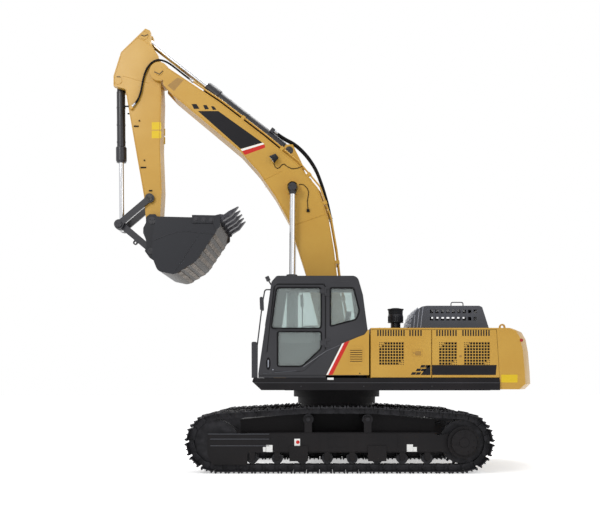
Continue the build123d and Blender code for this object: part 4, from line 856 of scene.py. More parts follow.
# %% Painted shade: small holes, slots, and a dark sheet behind the grilles
SLOT_Z = (2.229, 2.327)
SLOT_HALF = 0.011
SLOT_ROWS = {          # first slot, last slot and their number
    "front": [(0.652, 1.076, 11), (1.174, 1.353, 5)],
    "rear": [(1.614, 1.923, 8), (2.037, 2.461, 11)],
}
for name, side, windows in GRILLES:
    body = "upperstructure" if name == "right_front_panel" else name
    dots, shade_sheet = bmesh.new(), bmesh.new()
    for x0, x1 in windows:
        for i in range(4):
            for k in range(4 - i):
                reach = (i + k) / 3
                for x, z in ((x1 - 0.012 - 0.036 * i, WINDOW_Z[0] + 0.012 + 0.032 * k),
                             (x0 + 0.012 + 0.036 * i, WINDOW_Z[1] - 0.012 - 0.032 * k)):
                    if reach < 0.9:
                        bar(dots, (x, side * (HOUSE_SIDE - 0.001), z), (x, side * (HOUSE_SIDE + 0.0005), z),
                            0.0085 + 0.002 * reach, 8)
        block(shade_sheet, (x0 - 0.02, side * (HOUSE_SIDE - 0.039), WINDOW_Z[0] - 0.02),
              (x1 + 0.02, side * (HOUSE_SIDE - 0.034), WINDOW_Z[1] + 0.02), 0.001)
    for first, last, count in SLOT_ROWS["front" if "front" in name else "rear"]:
        for i in range(count):
            x = first + (last - first) * i / (count - 1)
            plate(dots, rect(x - SLOT_HALF, SLOT_Z[0], x + SLOT_HALF, SLOT_Z[1]),
                  side * (HOUSE_SIDE - 0.001), side * (HOUSE_SIDE + 0.0005))
    piece("corner_holes_" + name, dots, BLACK_FILM_AND_SHADE, body)
    piece("painted_shade_behind_grille_" + name, shade_sheet, TRIM_AND_SHADE, body)

# %% [markdown]
# The front door has a flush latch: a pressed cup with a folding paddle and a key barrel. The doors
# behind it close with a small round lock. The paddle, the key barrel and the locks are a darker yellow,
# which is painted shade of the recesses they sit in.

# %% Latch and locks
CUP = rect(1.204, 1.894, 1.376, 2.016)
PADDLE = rect(1.259, 1.914, 1.349, 1.979)
y = -HOUSE_SIDE
bm = bmesh.new()
surround(bm, CUP, 0.010, y + 0.002, y - 0.004, 0.012)
piece("latch_cup", bm, YELLOW, "left_front_door")
bm = bmesh.new()
plate(bm, PADDLE, y + 0.001, y - 0.005, 0.008)
bar(bm, (1.236, y + 0.001, 1.954), (1.236, y - 0.004, 1.954), 0.012, 16)
piece("latch_paddle", bm, PAINTED_SHADE_YELLOW, "left_front_door")
LOCK_X, LOCK_Z = 1.997, 1.900
for name, side in (("left_rear_door", -1), ("right_pump_door", 1)):
    bm = bmesh.new()
    for inner, outer, radius, sides in ((-0.001, 0.004, 0.020, 24), (0.003, 0.006, 0.009, 12)):
        bar(bm, (LOCK_X, side * (HOUSE_SIDE + inner), LOCK_Z),
            (LOCK_X, side * (HOUSE_SIDE + outer), LOCK_Z), radius, sides)
    piece("lock_" + name, bm, PAINTED_SHADE_YELLOW, name)

# %% [markdown]
# ### Bands and stripes
# The black band along the rear of the house is one length of film, with two staggered rows of squares
# where it fades out forward. It crosses the gap between the doors, so it is cut there.

# %% The black band
BAND_Z = (1.594, 1.757)
BAND_FRONT = [(1.345, BAND_Z[0]), (1.508, BAND_Z[0]), (1.508, BAND_Z[1]), (1.478, BAND_Z[1])]
BAND_REAR = [(1.534, BAND_Z[0]), (2.572, BAND_Z[0]), (2.586, BAND_Z[1]), (1.534, BAND_Z[1])]
STEPS = [(1.231, 1.6185), (1.311, 1.677), (1.381, 1.7358)]
for side, front_body, rear_body in ((-1, "left_front_door", "left_rear_door"),
                                    (1, "upperstructure", "right_pump_door")):
    near, far = side * (HOUSE_SIDE - 0.0005), side * (HOUSE_SIDE + 0.0008)
    hand = "left" if side < 0 else "right"
    bm = bmesh.new()
    plate(bm, BAND_FRONT, near, far)
    for shift in (0.0, 0.078):
        for x, z in STEPS:
            x += shift
            plate(bm, [(x - 0.045, z - 0.021), (x + 0.025, z - 0.021), (x + 0.048, z + 0.021),
                       (x - 0.022, z + 0.021)], near, far)
    piece("band_front_" + hand, bm, BLACK_FILM_AND_SHADE, front_body)
    bm = bmesh.new()
    plate(bm, BAND_REAR, near, far)
    piece("band_rear_" + hand, bm, BLACK_FILM_AND_SHADE, rear_body)

# %% [markdown]
# The counterweight is a casting. A parting line of its mould runs along it, and it carries a blank
# plate and a red lamp on each side.

# %% Counterweight trims
bm = bmesh.new()
for side in (-1, 1):
    near, far = side * (HOUSE_SIDE - 0.001), side * (HOUSE_SIDE + 0.0012)
    plate(bm, rect(2.645, 1.606, 2.96, 1.614), near, far)
piece("mould_line", bm, YELLOW, "upperstructure")
bm = bmesh.new()
for side in (-1, 1):
    near, far = side * (HOUSE_SIDE - 0.001), side * (HOUSE_SIDE + 0.001)
    plate(bm, rect(2.661, 1.472, 2.926, 1.600), near, far, 0.006)
piece("counterweight_plates", bm, YELLOW_FILM, "upperstructure")
bm = bmesh.new()
for side in (-1, 1):
    bar(bm, (2.990, side * 1.430, 2.160), (2.990, side * 1.456, 2.160), 0.030, 24, 0.026)
piece("rear_lamps", bm, RED_LENS, "upperstructure")

# %% [markdown]
# ## Cab
# The cab is a pressed shell. Behind its door the yellow side cover of the house begins, with a slanted
# front edge and a small louvre. Each blade of the louvre is a narrow plate, tilted about its upper edge.

# %% Side cover and louvre
CAB_SIDE = 1.42
COVER = [(-0.193, 1.594), (0.065, 2.106), (0.200, 2.160), (0.324, 2.212), (0.431, 2.252), (0.492, 2.333),
         (0.507, 2.333), (0.507, 1.594)]
BLADES, BLADE_Z, BLADE_STEP = 6, 1.822, 0.036
bm = bmesh.new()
plate(bm, COVER, -CAB_SIDE + 0.001, -HOUSE_SIDE + 0.003)
surround(bm, rect(0.166, 1.752, 0.429, 2.072), 0.012,
         -HOUSE_SIDE + 0.004, -HOUSE_SIDE, 0.02)
for i in range(BLADES):
    z = BLADE_Z + i * BLADE_STEP
    blade = bmesh.new()
    plate(blade, rect(0.200, z, 0.394, z + 0.022),
          -HOUSE_SIDE + 0.004, -HOUSE_SIDE - 0.004, 0.006)
    turn = Matrix.Rotation(math.radians(-14), 4, "X")
    bmesh.ops.rotate(blade, cent=(0.3, -HOUSE_SIDE, z + 0.022), matrix=turn, verts=blade.verts)
    join(bm, blade)
piece("cab_side_cover", bm, YELLOW, "upperstructure")

# Dark strips behind the blades are painted shade in the gaps between them.
bm = bmesh.new()
for i in range(BLADES):
    z = BLADE_Z - 0.010 + i * BLADE_STEP
    plate(bm, rect(0.200, z, 0.394, z + 0.011),
          -HOUSE_SIDE + 0.006, -HOUSE_SIDE + 0.0025)
bar(bm, (0.356, -HOUSE_SIDE + 0.006, 1.621), (0.356, -HOUSE_SIDE + 0.002, 1.621), 0.011, 16)
piece("louvre_gap_shade", bm, TRIM_AND_SHADE, "upperstructure")

# %% [markdown]
# A stripe of white and red film follows the slanted edge. Film has no thickness that shows, so a plate
# of about a millimetre stands for it, just proud of the enamel.

# %% White and red stripe
FILM_NEAR, FILM_FAR = -HOUSE_SIDE + 0.0032, -HOUSE_SIDE + 0.002
bm = bmesh.new()
plate(bm, [(-0.190, 1.597), (-0.160, 1.597), (0.103, 2.120), (0.067, 2.105)], FILM_NEAR, FILM_FAR)
piece("stripe_white", bm, WHITE_FILM, "upperstructure")
bm = bmesh.new()
plate(bm, [(-0.160, 1.597), (-0.088, 1.597), (0.192, 2.155), (0.103, 2.120)], FILM_NEAR, FILM_FAR)
piece("stripe_red", bm, RED_FILM, "upperstructure")

# %% [markdown]
# Below the door the cab's side steps in along a slanted crease, whose edge catches the light. A thin
# round bead of lighter grey along the line paints that highlight. The door has its own length of it.

# %% Crease beads
DOOR_FACE = -CAB_SIDE - 0.001
bm = bmesh.new()
bead(bm, [(-1.230, -CAB_SIDE, 1.618), (-0.680, -CAB_SIDE, 1.663)], 0.006)
bead(bm, [(-0.200, -CAB_SIDE, 1.980), (0.040, -CAB_SIDE, 2.085)], 0.006)
piece("crease_beads", bm, HOOD_GREY_AND_HIGHLIGHT, "upperstructure")
bm = bmesh.new()
bead(bm, [(-0.565, DOOR_FACE, 1.728), (-0.200, DOOR_FACE, 1.980)], 0.006)
piece("door_crease_bead", bm, HOOD_GREY_AND_HIGHLIGHT, "cab_door")

# %% [markdown]
# A drip rail runs over the door and the panes behind it, and keeps rain off them. It is bent from thin
# section, so a bead follows its line. A skirt closes the shell under the door, and a pressed panel
# closes it on the side of the boom.

# %% Drip rails, skirt and inner panel
RAIL = [(-1.045, 3.128), (-0.200, 3.128), (0.180, 3.120), (0.300, 3.100), (0.352, 3.060)]
bm = bmesh.new()
for y in (-CAB_SIDE + 0.004, -0.524):
    bead(bm, [(x, y, z) for x, z in RAIL], 0.009)
plate(bm, rect(-1.300, 1.549, -0.195, 1.592), -CAB_SIDE, -CAB_SIDE + 0.020)
block(bm, (-1.020, -0.548, 2.120), (0.330, -0.536, 2.360), 0.002)
piece("cab_rails_and_skirt", bm, BLACK, "upperstructure")

# %% [markdown]
# The door's front lower corner carries a moulded cover with an oval well for the hand. Its outline is
# an arc on two straight sides, and the well is a dark oval, painted shade of the hollow, with a small pull
# and a key barrel in it.

# %% Corner cover of the door
bm = bmesh.new()
y = DOOR_FACE
plate(bm, [(-1.150, 1.700), (-1.000, 1.700), (-1.000, 2.318), (-1.106, 2.318)], y + 0.001, y - 0.004)
cover = [(-1.133 + 0.0995 * math.cos(math.radians(a)), 1.872 + 0.100 * math.sin(math.radians(a)))
         for a in range(0, 181, 20)] + [(-1.2325, 1.627), (-1.0335, 1.627)]
plate(bm, cover, y + 0.001, y - 0.008)
piece("door_corner_cover", bm, BLACK, "cab_door")
bm = bmesh.new()
oval = [(-1.1365 + 0.0385 * math.cos(math.radians(a)), 1.7795 + 0.1035 * math.sin(math.radians(a)))
        for a in range(0, 360, 20)]
plate(bm, oval, y - 0.0075, y - 0.010)
piece("door_corner_well_shade", bm, RUBBER_AND_SHADE, "cab_door")
bm = bmesh.new()
bar(bm, (-1.1365, y - 0.011, 1.720), (-1.1365, y - 0.011, 1.840), 0.010, 12)
bar(bm, (-1.060, y - 0.007, 1.682), (-1.060, y - 0.010, 1.682), 0.010, 16)
piece("door_corner_pull", bm, LIGHT_GREY_AND_HIGHLIGHT, "cab_door")

# %% [markdown]
# A rubber gasket closes the gap round the door. It follows the door's edge, so its line is taken from
# the box of the CAD door. The handle is a flush cup with a bar across it, on the door's middle rail.

# %% Gasket and handle
low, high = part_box("cab_door")
print("cab door", [round(v, 3) for v in low], [round(v, 3) for v in high])
bm = bmesh.new()
bead(bm, [(low.x + 0.010, y, low.z + 0.040), (-1.045, y, high.z - 0.050), (-1.000, y, high.z - 0.008),
          (high.x - 0.050, y, high.z - 0.008), (high.x - 0.006, y, high.z - 0.045),
          (high.x - 0.006, y, 2.010)], 0.006)
piece("door_gasket", bm, RUBBER_AND_SHADE, "cab_door")

bm = bmesh.new()
surround(bm, rect(-1.012, 2.306, -0.912, 2.352), 0.008, y + 0.003, y - 0.008, 0.01)
bar(bm, (-0.990, y - 0.006, 2.329), (-0.935, y - 0.006, 2.329), 0.008, 12)
plate(bm, rect(-1.075, 2.322, -0.270, 2.338), y + 0.002, y - 0.004)
piece("door_handle", bm, BLACK, "cab_door")

# %% [markdown]
# ### Glass seals
# Each pane sits in a black rubber seal, an extruded strip that is pushed over the edge of the steel.
# It is seen as a narrow frame with round corners, so a frame is cut from an inset face.

# %% Seals round the panes
SEAL_WIDTH = 0.026
UPPER_SEAL = [(-1.106, 2.342), (-1.014, 3.036), (-0.258, 3.036), (-0.258, 2.342)]
LOWER_SEAL = [(-1.000, 1.722), (-1.000, 2.318), (-0.258, 2.318), (-0.258, 2.022), (-0.582, 1.722)]
REAR_SEAL = [(-0.136, 2.374), (-0.136, 3.031), (0.267, 3.031), (0.366, 2.641), (0.312, 2.496),
             (0.228, 2.468)]
INNER_SEAL = [(-1.020, 2.132), (-0.890, 3.056), (0.272, 3.056), (0.346, 2.480), (0.256, 2.132)]
bm = bmesh.new()
surround(bm, UPPER_SEAL, SEAL_WIDTH, y + 0.012, y - 0.004, 0.06)
surround(bm, LOWER_SEAL, SEAL_WIDTH, y + 0.012, y - 0.005, 0.05)
piece("door_seals", bm, RUBBER_AND_SHADE, "cab_door")

bm = bmesh.new()
surround(bm, REAR_SEAL, SEAL_WIDTH, -CAB_SIDE + 0.012, -CAB_SIDE - 0.004, 0.04)
surround(bm, INNER_SEAL, SEAL_WIDTH, -0.532, -0.516, 0.04)
piece("cab_seals", bm, RUBBER_AND_SHADE, "upperstructure")

# %% [markdown]
# ### Wiper
# The windscreen leans back. A wiper lies on it, driven from a small box near the top of the right
# pillar. The blade is a rubber strip in a steel carrier, and it follows the glass.

# %% Wiper on the windscreen
GLASS_FOOT, GLASS_HEAD = Vector((-1.262, 0, 1.960)), Vector((-1.104, 0, 3.040))
up = (GLASS_HEAD - GLASS_FOOT).normalized()
ahead = Vector((-up.z, 0, up.x))


def on_glass(y, height, proud):
    """A point on the windscreen: across, up along the glass from its lower edge, and in front of it."""
    return GLASS_FOOT + up * height + ahead * proud + Vector((0, y, 0))


bm = bmesh.new()
bar(bm, on_glass(-0.70, 1.02, 0.004), on_glass(-0.70, 1.02, 0.038), 0.028, 20)
bar(bm, on_glass(-0.70, 1.02, 0.030), on_glass(-0.84, 0.48, 0.030), 0.008, 10)
bar(bm, on_glass(-0.84, 0.84, 0.022), on_glass(-0.84, 0.12, 0.022), 0.009, 8)
piece("wiper", bm, TRIM_AND_SHADE, "upperstructure")

# %% [markdown]
# ### Roof
# Two pressed ribs stiffen the roof, with a flat hatch between them. Each is a low block with rounded
# edges, let into the roof's sheet.

# %% Roof ribs and hatch
ROOF = 3.205
bm = bmesh.new()
for y in (-1.22, -0.72):
    block(bm, (-0.78, y - 0.03, ROOF), (0.12, y + 0.03, ROOF + 0.0105), 0.008)
block(bm, (-0.72, -1.14, ROOF), (-0.02, -0.80, ROOF + 0.010), 0.006)
piece("roof_ribs", bm, BLACK, "upperstructure")

# %% [markdown]
# ## Hood, air cleaner and deck
# The engine hood is grey sheet. Ridges of louvres step up its front slope, drawn in light grey as a painted
# highlight on their upper lips. A ridge is a plate whose section is a wedge on the slope, so the slope's
# line is walked.

# %% Louvres on the hood
low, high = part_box("engine_hood")
print("hood", [round(v, 3) for v in low], [round(v, 3) for v in high])
bm = bmesh.new()
SLOPE = [(1.254, 2.420), (1.272, 2.492), (1.296, 2.566), (1.326, 2.640), (1.360, 2.706), (1.412, 2.748)]
for (x0, z0), (x1, z1) in zip(SLOPE, SLOPE[1:]):
    run = Vector((x1 - x0, 0, z1 - z0))
    out = Vector((-run.z, 0, run.x)).normalized()
    foot = Vector((x0, 0, z0)) + 0.16 * run
    head = Vector((x0, 0, z0)) + 0.84 * run
    section = [foot - 0.004 * out, foot + 0.016 * out, head + 0.030 * out, head - 0.004 * out]
    for y in (-0.43, 0.0, 0.43):
        plate(bm, [(p.x, p.z) for p in section], y - 0.185, y + 0.185)
piece("hood_louvres", bm, LIGHT_GREY_AND_HIGHLIGHT, "engine_hood")

# %% [markdown]
# The hood's folded edges are light grey beads down its sides, a painted highlight, and its top has rows
# of slots. The slots are dark blocks a few millimetres proud, painted shade for the holes, because the
# sheet under them is one piece in the CAD model.

# %% Edges and slots of the hood
HOOD_SIDE = 0.670
HOOD_EDGES = [[(1.240, 2.370), (1.262, 2.470)], [(1.312, 2.380), (1.335, 2.630)],
              [(1.370, 2.380), (1.410, 2.730)], [(1.430, 2.400), (1.475, 2.770)]]
bm, holes = bmesh.new(), bmesh.new()
for side in (-1, 1):
    for edge in HOOD_EDGES:
        bead(bm, [(x, side * (HOOD_SIDE + 0.002), z) for x, z in edge], 0.008, 8)
for i in range(9):
    x = 1.620 + i * 0.09375
    for y in (-0.54, -0.36, -0.18, 0.0, 0.18, 0.36, 0.54):
        block(holes, (x - 0.026, y - 0.055, 2.788), (x + 0.026, y + 0.055, 2.7935), 0.002)
piece("hood_edges", bm, LIGHT_GREY_AND_HIGHLIGHT, "engine_hood")
piece("hood_top_slot_shade", holes, RUBBER_AND_SHADE, "engine_hood")

# %% [markdown]
# A pre-cleaner spins the dust out of the air with fins round its bowl. The bowl is moulded, with a
# domed lid, and a clamp ring holds it on its neck.

# %% Fins, lid and clamp of the pre-cleaner
CLEANER = Vector((1.085, 0.330, 0.0))
UP = Vector((0, 0, 1))
FINS = 24
bm = bmesh.new()
for i in range(FINS):
    angle = 2 * math.pi * i / FINS
    out = Vector((math.cos(angle), math.sin(angle), 0))
    foot = CLEANER + 0.134 * out
    bar(bm, foot + 2.585 * UP, foot + 2.680 * UP, 0.008, 6)
for bottom, top, radius, sides, top_radius in (
    (2.690, 2.795, 0.128, 32, 0.136), (2.793, 2.813, 0.148, 32, 0.148), (2.813, 2.830, 0.130, 32, 0.060),
    (2.562, 2.574, 0.143, 32, 0.143), (2.400, 2.425, 0.099, 24, 0.099), (2.363, 2.375, 0.130, 24, 0.130),
):
    bar(bm, CLEANER + bottom * UP, CLEANER + top * UP, radius, sides, top_radius)
piece("cleaner_bowl", bm, TRIM_AND_SHADE, "upperstructure")

# %% [markdown]
# Anti-slip plates lie where a fitter walks: on the house, on the tank and on the tool box. The one on
# the tool box is a piece of its own, because it lifts with the lid.

# %% Treads
HOUSE_TOP = 2.362
BAR_STEP = 0.09


def tread(bm, low_x, high_x, low_y, high_y, z):
    """An anti-slip plate with low bars across it, on a surface of height z."""
    block(bm, (low_x, low_y, z - 0.001), (high_x, high_y, z + 0.004), 0.002)
    for i in range(int((high_x - low_x) / BAR_STEP)):
        x = low_x + 0.05 + BAR_STEP * i
        block(bm, (x, low_y + 0.03, z + 0.003), (x + 0.03, high_y - 0.03, z + 0.008), 0.002)


bm = bmesh.new()
for spot in (
    (0.56, 1.20, -0.60, 0.60), (-0.05, 0.50, 0.74, 1.40), (0.62, 1.46, 0.72, 1.40),
    (1.60, 2.52, 0.74, 1.40), (0.62, 1.46, -1.40, -0.72), (1.60, 2.52, -1.40, -0.74),
):
    tread(bm, *spot, HOUSE_TOP)
piece("anti_slip_plates", bm, TREAD, "upperstructure")
bm = bmesh.new()
tread(bm, -1.30, -0.86, 0.83, 1.41, 1.980)
piece("tool_box_tread", bm, TREAD, "tool_box_lid")

# %% [markdown]
# Along the deck's edge runs a thin strip with bolts under it, and a small blank plate is stuck to it
# under the cab. They are a few millimetres proud of the deck.

# %% Deck strips
bm = bmesh.new()
for side in (-1, 1):
    near, far = side * 1.4895, side * 1.4915
    plate(bm, [(-1.375, 1.462), (2.630, 1.462), (2.630, 1.474), (-1.365, 1.474)], near, far)
    for x in (-0.60, 0.42, 1.526):
        bar(bm, (x, side * 1.486, 1.410), (x, side * 1.4975, 1.410), 0.011, 6)
piece("deck_edge_strips", bm, BLACK, "upperstructure")
bm = bmesh.new()
plate(bm, rect(-0.172, 1.486, -0.070, 1.550), -1.4625, -1.4645)
piece("deck_label", bm, WHITE_FILM, "upperstructure")

# %% [markdown]
# ## Boom and stick
# Both are welded boxes. Their film, weld seams, pin caps and small lines are flat or thin, so they
# are placed against the sides of the CAD plates. A pin's cap is put where the CAD surface ends round
# that pin, which is measured from the mesh.

# %% Film on the boom
BOOM_SIDE = 0.28
FILM_DARK = [(-2.445, 6.250), (-2.087, 6.250), (-1.309, 5.694), (-1.692, 5.583)]
FILM_WHITE = [(-1.690, 5.580), (-1.305, 5.692), (-1.276, 5.668), (-1.668, 5.546)]
FILM_RED = [(-1.666, 5.543), (-1.274, 5.664), (-1.259, 5.607), (-1.617, 5.476)]
SQUARES = [
    [(-2.557, 6.373), (-2.513, 6.287), (-2.416, 6.290), (-2.469, 6.373)],
    [(-2.355, 6.354), (-2.320, 6.277), (-2.249, 6.285), (-2.293, 6.356)],
    [(-2.214, 6.335), (-2.179, 6.268), (-2.117, 6.275), (-2.161, 6.332)],
]
# The darker yellow band on the boom's nose is painted shade, where the side plate meets the nose casting.
NOSE_PAINTED_SHADE = [(-2.804, 6.840), (-2.698, 6.796), (-2.865, 6.602), (-2.980, 6.699)]
dark, white, red, band = bmesh.new(), bmesh.new(), bmesh.new(), bmesh.new()
for side in (-1, 1):
    near, far = side * (BOOM_SIDE - 0.0005), side * (BOOM_SIDE + 0.001)
    plate(dark, FILM_DARK, near, far)
    for square in SQUARES:
        plate(dark, square, near, far)
    plate(white, FILM_WHITE, near, far)
    plate(red, FILM_RED, near, far)
    plate(band, NOSE_PAINTED_SHADE, near, far)
piece("boom_film_black", dark, BLACK_FILM_AND_SHADE, "boom")
piece("boom_film_white", white, WHITE_FILM, "boom")
piece("boom_film_red", red, RED_FILM, "boom")
piece("boom_nose_painted_shade", band, PAINTED_SHADE_YELLOW, "boom")

# %% Weld seams of the boom and the stick
STICK_SIDE = 0.2
BOOM_BACK = [(0.002, 3.372), (-0.049, 3.804), (-0.144, 4.349), (-0.339, 4.904), (-0.700, 5.330),
             (-1.281, 5.810), (-2.064, 6.409), (-3.000, 7.032)]
BOOM_BELLY = [(-0.336, 2.529), (-0.545, 3.382), (-0.697, 3.868), (-0.857, 4.334), (-1.089, 4.758),
              (-1.383, 5.185), (-1.711, 5.550), (-2.887, 6.531)]
STICK_FRONT = [(-3.386, 7.700), (-3.800, 7.317), (-3.930, 6.900), (-3.930, 6.735)]
STICK_BACK = [(-3.114, 4.873), (-3.142, 5.633), (-3.122, 6.481), (-3.145, 7.181)]
STICK_BELLY = [(-3.722, 6.666), (-3.660, 6.286), (-3.397, 4.784)]
bm = bmesh.new()
for side in (-1, 1):
    y = side * (BOOM_SIDE + 0.001)
    bead(bm, [(x - 0.016, y, z - 0.008) for x, z in BOOM_BACK], 0.005, 6)
    bead(bm, [(x + 0.014, y, z + 0.010) for x, z in BOOM_BELLY], 0.005, 6)
    bead(bm, [(-0.728, y, 4.249), (-0.210, y, 4.434)], 0.006, 6)
    bead(bm, [(-1.300, y, 5.030), (-0.970, y, 5.190)], 0.005, 6)
piece("boom_welds", bm, YELLOW, "boom")
bm = bmesh.new()
for side in (-1, 1):
    y = side * (STICK_SIDE + 0.001)
    for line in (STICK_FRONT, STICK_BACK, STICK_BELLY):
        bead(bm, [(x, y, z) for x, z in line], 0.005, 6)
    bead(bm, [(-3.779, y, 6.892), (-3.322, y, 6.768)], 0.005, 6)
    bead(bm, [(-3.525, y, 7.569), (-3.410, y, 7.524), (-3.251, y, 7.392), (-3.145, y, 7.232)], 0.005, 6)
piece("stick_welds", bm, YELLOW, "stick")

# %% [markdown]
# ### Pin caps
# Every pin is kept in by a round cap. Most caps have bolts and a grease nipple in the middle, and three
# have a bent keeper bar instead. A cap is a short bar with a slight taper, put where the CAD surface
# ends round that pin.

# %% Pin caps
def surface_beside(names, x, z, around, side):
    """How far out, along Y, the CAD nodes reach within a distance of a point of their side."""
    reach = [side * v.co.y for name in names for v in frame["nodes"][name].data.vertices
             if math.hypot(v.co.x - x, v.co.z - z) < around]
    return side * max(reach)


BOOM_NODES, STICK_NODES = ("boom", "boom_pins"), ("stick", "stick_pins")
BUCKET_NODES, LINK_NODES = ("bucket", "bucket_pins"), ("side_links", "link_pins")
PIN_CAPS = [
    # name, body, CAD nodes, x, z, radius, finish, slot
    ("boom_tip", "boom", BOOM_NODES, -3.131, 6.951, 0.078, YELLOW, "yellow_paint"),
    ("stick_cylinder_base", "boom", BOOM_NODES, -0.841, 5.597, 0.070, PIN_STEEL, "dark_steel"),
    ("stick_top", "stick", STICK_NODES, -3.402, 7.607, 0.068, YELLOW, "yellow_paint"),
    ("bucket_cylinder_base", "stick", STICK_NODES, -3.864, 6.811, 0.068, YELLOW, "yellow_paint"),
    ("link_base", "stick", STICK_NODES, -3.304, 4.726, 0.062, PIN_STEEL, "dark_steel"),
    ("bucket_hinge", "bucket", BUCKET_NODES, -3.257, 4.327, 0.070, BLACK, "black_paint"),
    ("bucket_link", "bucket", BUCKET_NODES, -3.276, 3.788, 0.062, BLACK, "black_paint"),
    ("link_rod", "side_links", LINK_NODES, -3.845, 4.267, 0.062, BLACK, "black_paint"),
]
KEEPERS = {
    "boom_tip": [(-3.208, 6.937), (-3.120, 6.893), (-3.059, 6.954)],
    "stick_top": [(-3.454, 7.613), (-3.401, 7.595), (-3.339, 7.622)],
    "bucket_cylinder_base": [(-3.888, 6.875), (-3.826, 6.875)],
}
# The keeper bars are black on the caps, and their black paints in the shadow under each keeper as well as
# the bar.
for name, body, nodes, x, z, radius, finish, slot in PIN_CAPS:
    bm, keeper = bmesh.new(), bmesh.new()
    for side in (-1, 1):
        y = surface_beside(nodes, x, z, radius, side)
        bar(bm, (x, y - side * 0.003, z), (x, y + side * 0.010, z), radius, 32, radius * 0.94)
        if name in KEEPERS:
            bead(keeper, [(px, y + side * 0.012, pz) for px, pz in KEEPERS[name]], 0.007, 8)
        else:
            bolt_ring(bm, (x, y + side * 0.009, z), (0, side, 0), radius * 0.62, 3, radius * 0.17, 0.011,
                      30)
            bar(bm, (x, y + side * 0.009, z), (x, y + side * 0.018, z), radius * 0.12, 8)
    piece("pin_cap_" + name, bm, finish, body)
    if name in KEEPERS:
        piece("keeper_and_shadow_" + name, keeper, BLACK, body)
    else:
        keeper.free()

# %% [markdown]
# ### Rods of the boom cylinders
# Hard chrome covers the sliding part of a rod, and the eye welded to its end is painted black. The
# CAD rod is one solid of one finish, so two pieces stand in for it: the chromed bar, and the eye with
# its neck and a cap over its pin.

# %% Chromed rods and painted eyes
BOOM_CYLINDER_Y = 0.410
BOOM_CYLINDER_BASE, BOOM_CYLINDER_TIP = (-0.800, 1.470), (-0.774, 4.881)
EYE_R = 0.092
for hand, side in (("left", -1), ("right", 1)):
    node, body, y = f"boom_cylinder_{hand}_rod", "boom_rod_" + hand, side * BOOM_CYLINDER_Y
    base = Vector((BOOM_CYLINDER_BASE[0], y, BOOM_CYLINDER_BASE[1]))
    tip = Vector((BOOM_CYLINDER_TIP[0], y, BOOM_CYLINDER_TIP[1]))
    along = (tip - base).normalized()
    inner = min((v.co - base).dot(along) for v in frame["nodes"][node].data.vertices)
    bm = bmesh.new()
    bar(bm, base + inner * along, tip - 0.110 * along, 0.0475, 40)
    rod = piece("chromed_bar_" + hand, bm, CHROME, body)
    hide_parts(node)
    bm = bmesh.new()
    bar(bm, tip - 0.120 * along, tip - 0.070 * along, 0.056, 32, 0.066)
    circle = [(tip.x + EYE_R * math.cos(math.radians(a)), tip.z + EYE_R * math.sin(math.radians(a)))
              for a in range(0, 360, 10)]
    surround(bm, circle, 0.042, y - 0.056, y + 0.056)
    bar(bm, (tip.x, y + side * 0.055, tip.z), (tip.x, y + side * 0.066, tip.z), 0.076, 32, 0.070)
    bolt_ring(bm, (tip.x, y + side * 0.065, tip.z), (0, side, 0), 0.046, 3, 0.012, 0.010, 30)
    eye = piece("painted_eye_" + hand, bm, BLACK, body)
    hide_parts(node)

# %% [markdown]
# ### Lines, lamp and plates on the arm
# Grease lines of thin tube run along the boom's side from a block, held down by clips. A line is short
# bars with a ball at each bend, which closes the gap that two bars leave there.

# %% Grease lines
def clipped_line(bm, points, radius, side_y, side):
    """A thin tube along a plate's side: straight runs with a ball at each bend, and a clip on each run."""
    y = side_y + side * (radius + 0.002)
    bead(bm, [(x, y, z) for x, z in points], radius, 8)
    for x, z in points:
        ball = Matrix.Translation((x, y, z))
        bmesh.ops.create_icosphere(bm, subdivisions=1, radius=radius * 1.05, matrix=ball)
    for (x0, z0), (x1, z1) in zip(points, points[1:]):
        if math.hypot(x1 - x0, z1 - z0) > 0.15:
            mx, mz = (x0 + x1) / 2, (z0 + z1) / 2
            block(bm, (mx - 0.014, min(side_y, y + side * radius), mz - 0.014),
                  (mx + 0.014, max(side_y, y + side * (radius + 0.004)), mz + 0.014), 0.003)


GREASE_LINE_R = 0.006
LOWER_LINE = [(-0.699, 4.935), (-0.640, 4.960), (-0.580, 4.950), (-0.520, 4.890), (-0.494, 4.829),
              (-0.505, 4.740), (-0.518, 4.657), (-0.506, 4.508)]
UPPER_LINE = [(-1.111, 5.330), (-1.085, 5.265), (-1.049, 5.238), (-1.010, 5.250), (-0.970, 5.300),
              (-0.925, 5.315), (-0.870, 5.270), (-0.790, 5.232), (-0.700, 5.240), (-0.605, 5.274)]
bm = bmesh.new()
for side in (-1, 1):
    plane = side * (BOOM_SIDE + 0.001)
    top = plane + side * 0.03
    clipped_line(bm, LOWER_LINE, GREASE_LINE_R, plane, side)
    clipped_line(bm, UPPER_LINE, GREASE_LINE_R, plane, side)
    block(bm, (-0.530, min(plane, top), 4.470), (-0.480, max(plane, top), 4.520), 0.005)
piece("boom_grease_lines", bm, RUBBER_AND_SHADE, "boom")

# %% [markdown]
# The stick has short clips for its own lines, a steel tube to each hose port, and two blank film plates
# on each side. They are blocks, bars and plates against the stick's side.

# %% Clips and plates of the stick
bm = bmesh.new()
for side in (-1, 1):
    plane = side * (STICK_SIDE + 0.001)
    for x, z, wide in ((-3.545, 6.003, 0.042), (-3.420, 5.274, 0.050), (-3.292, 4.865, 0.030)):
        block(bm, (x - wide, min(plane, plane + side * 0.012), z - 0.012),
              (x + wide, max(plane, plane + side * 0.012), z + 0.012), 0.004)
    for x, z in ((-3.490, 6.10), (-3.400, 5.40)):
        bar(bm, (x, plane, z), (x, plane + side * 0.014, z), 0.014, 6)
    clipped_line(bm, [(-3.610, 6.345), (-3.700, 6.352), (-3.780, 6.352)], 0.014, plane, side)
piece("stick_clips", bm, RUBBER_AND_SHADE, "stick")

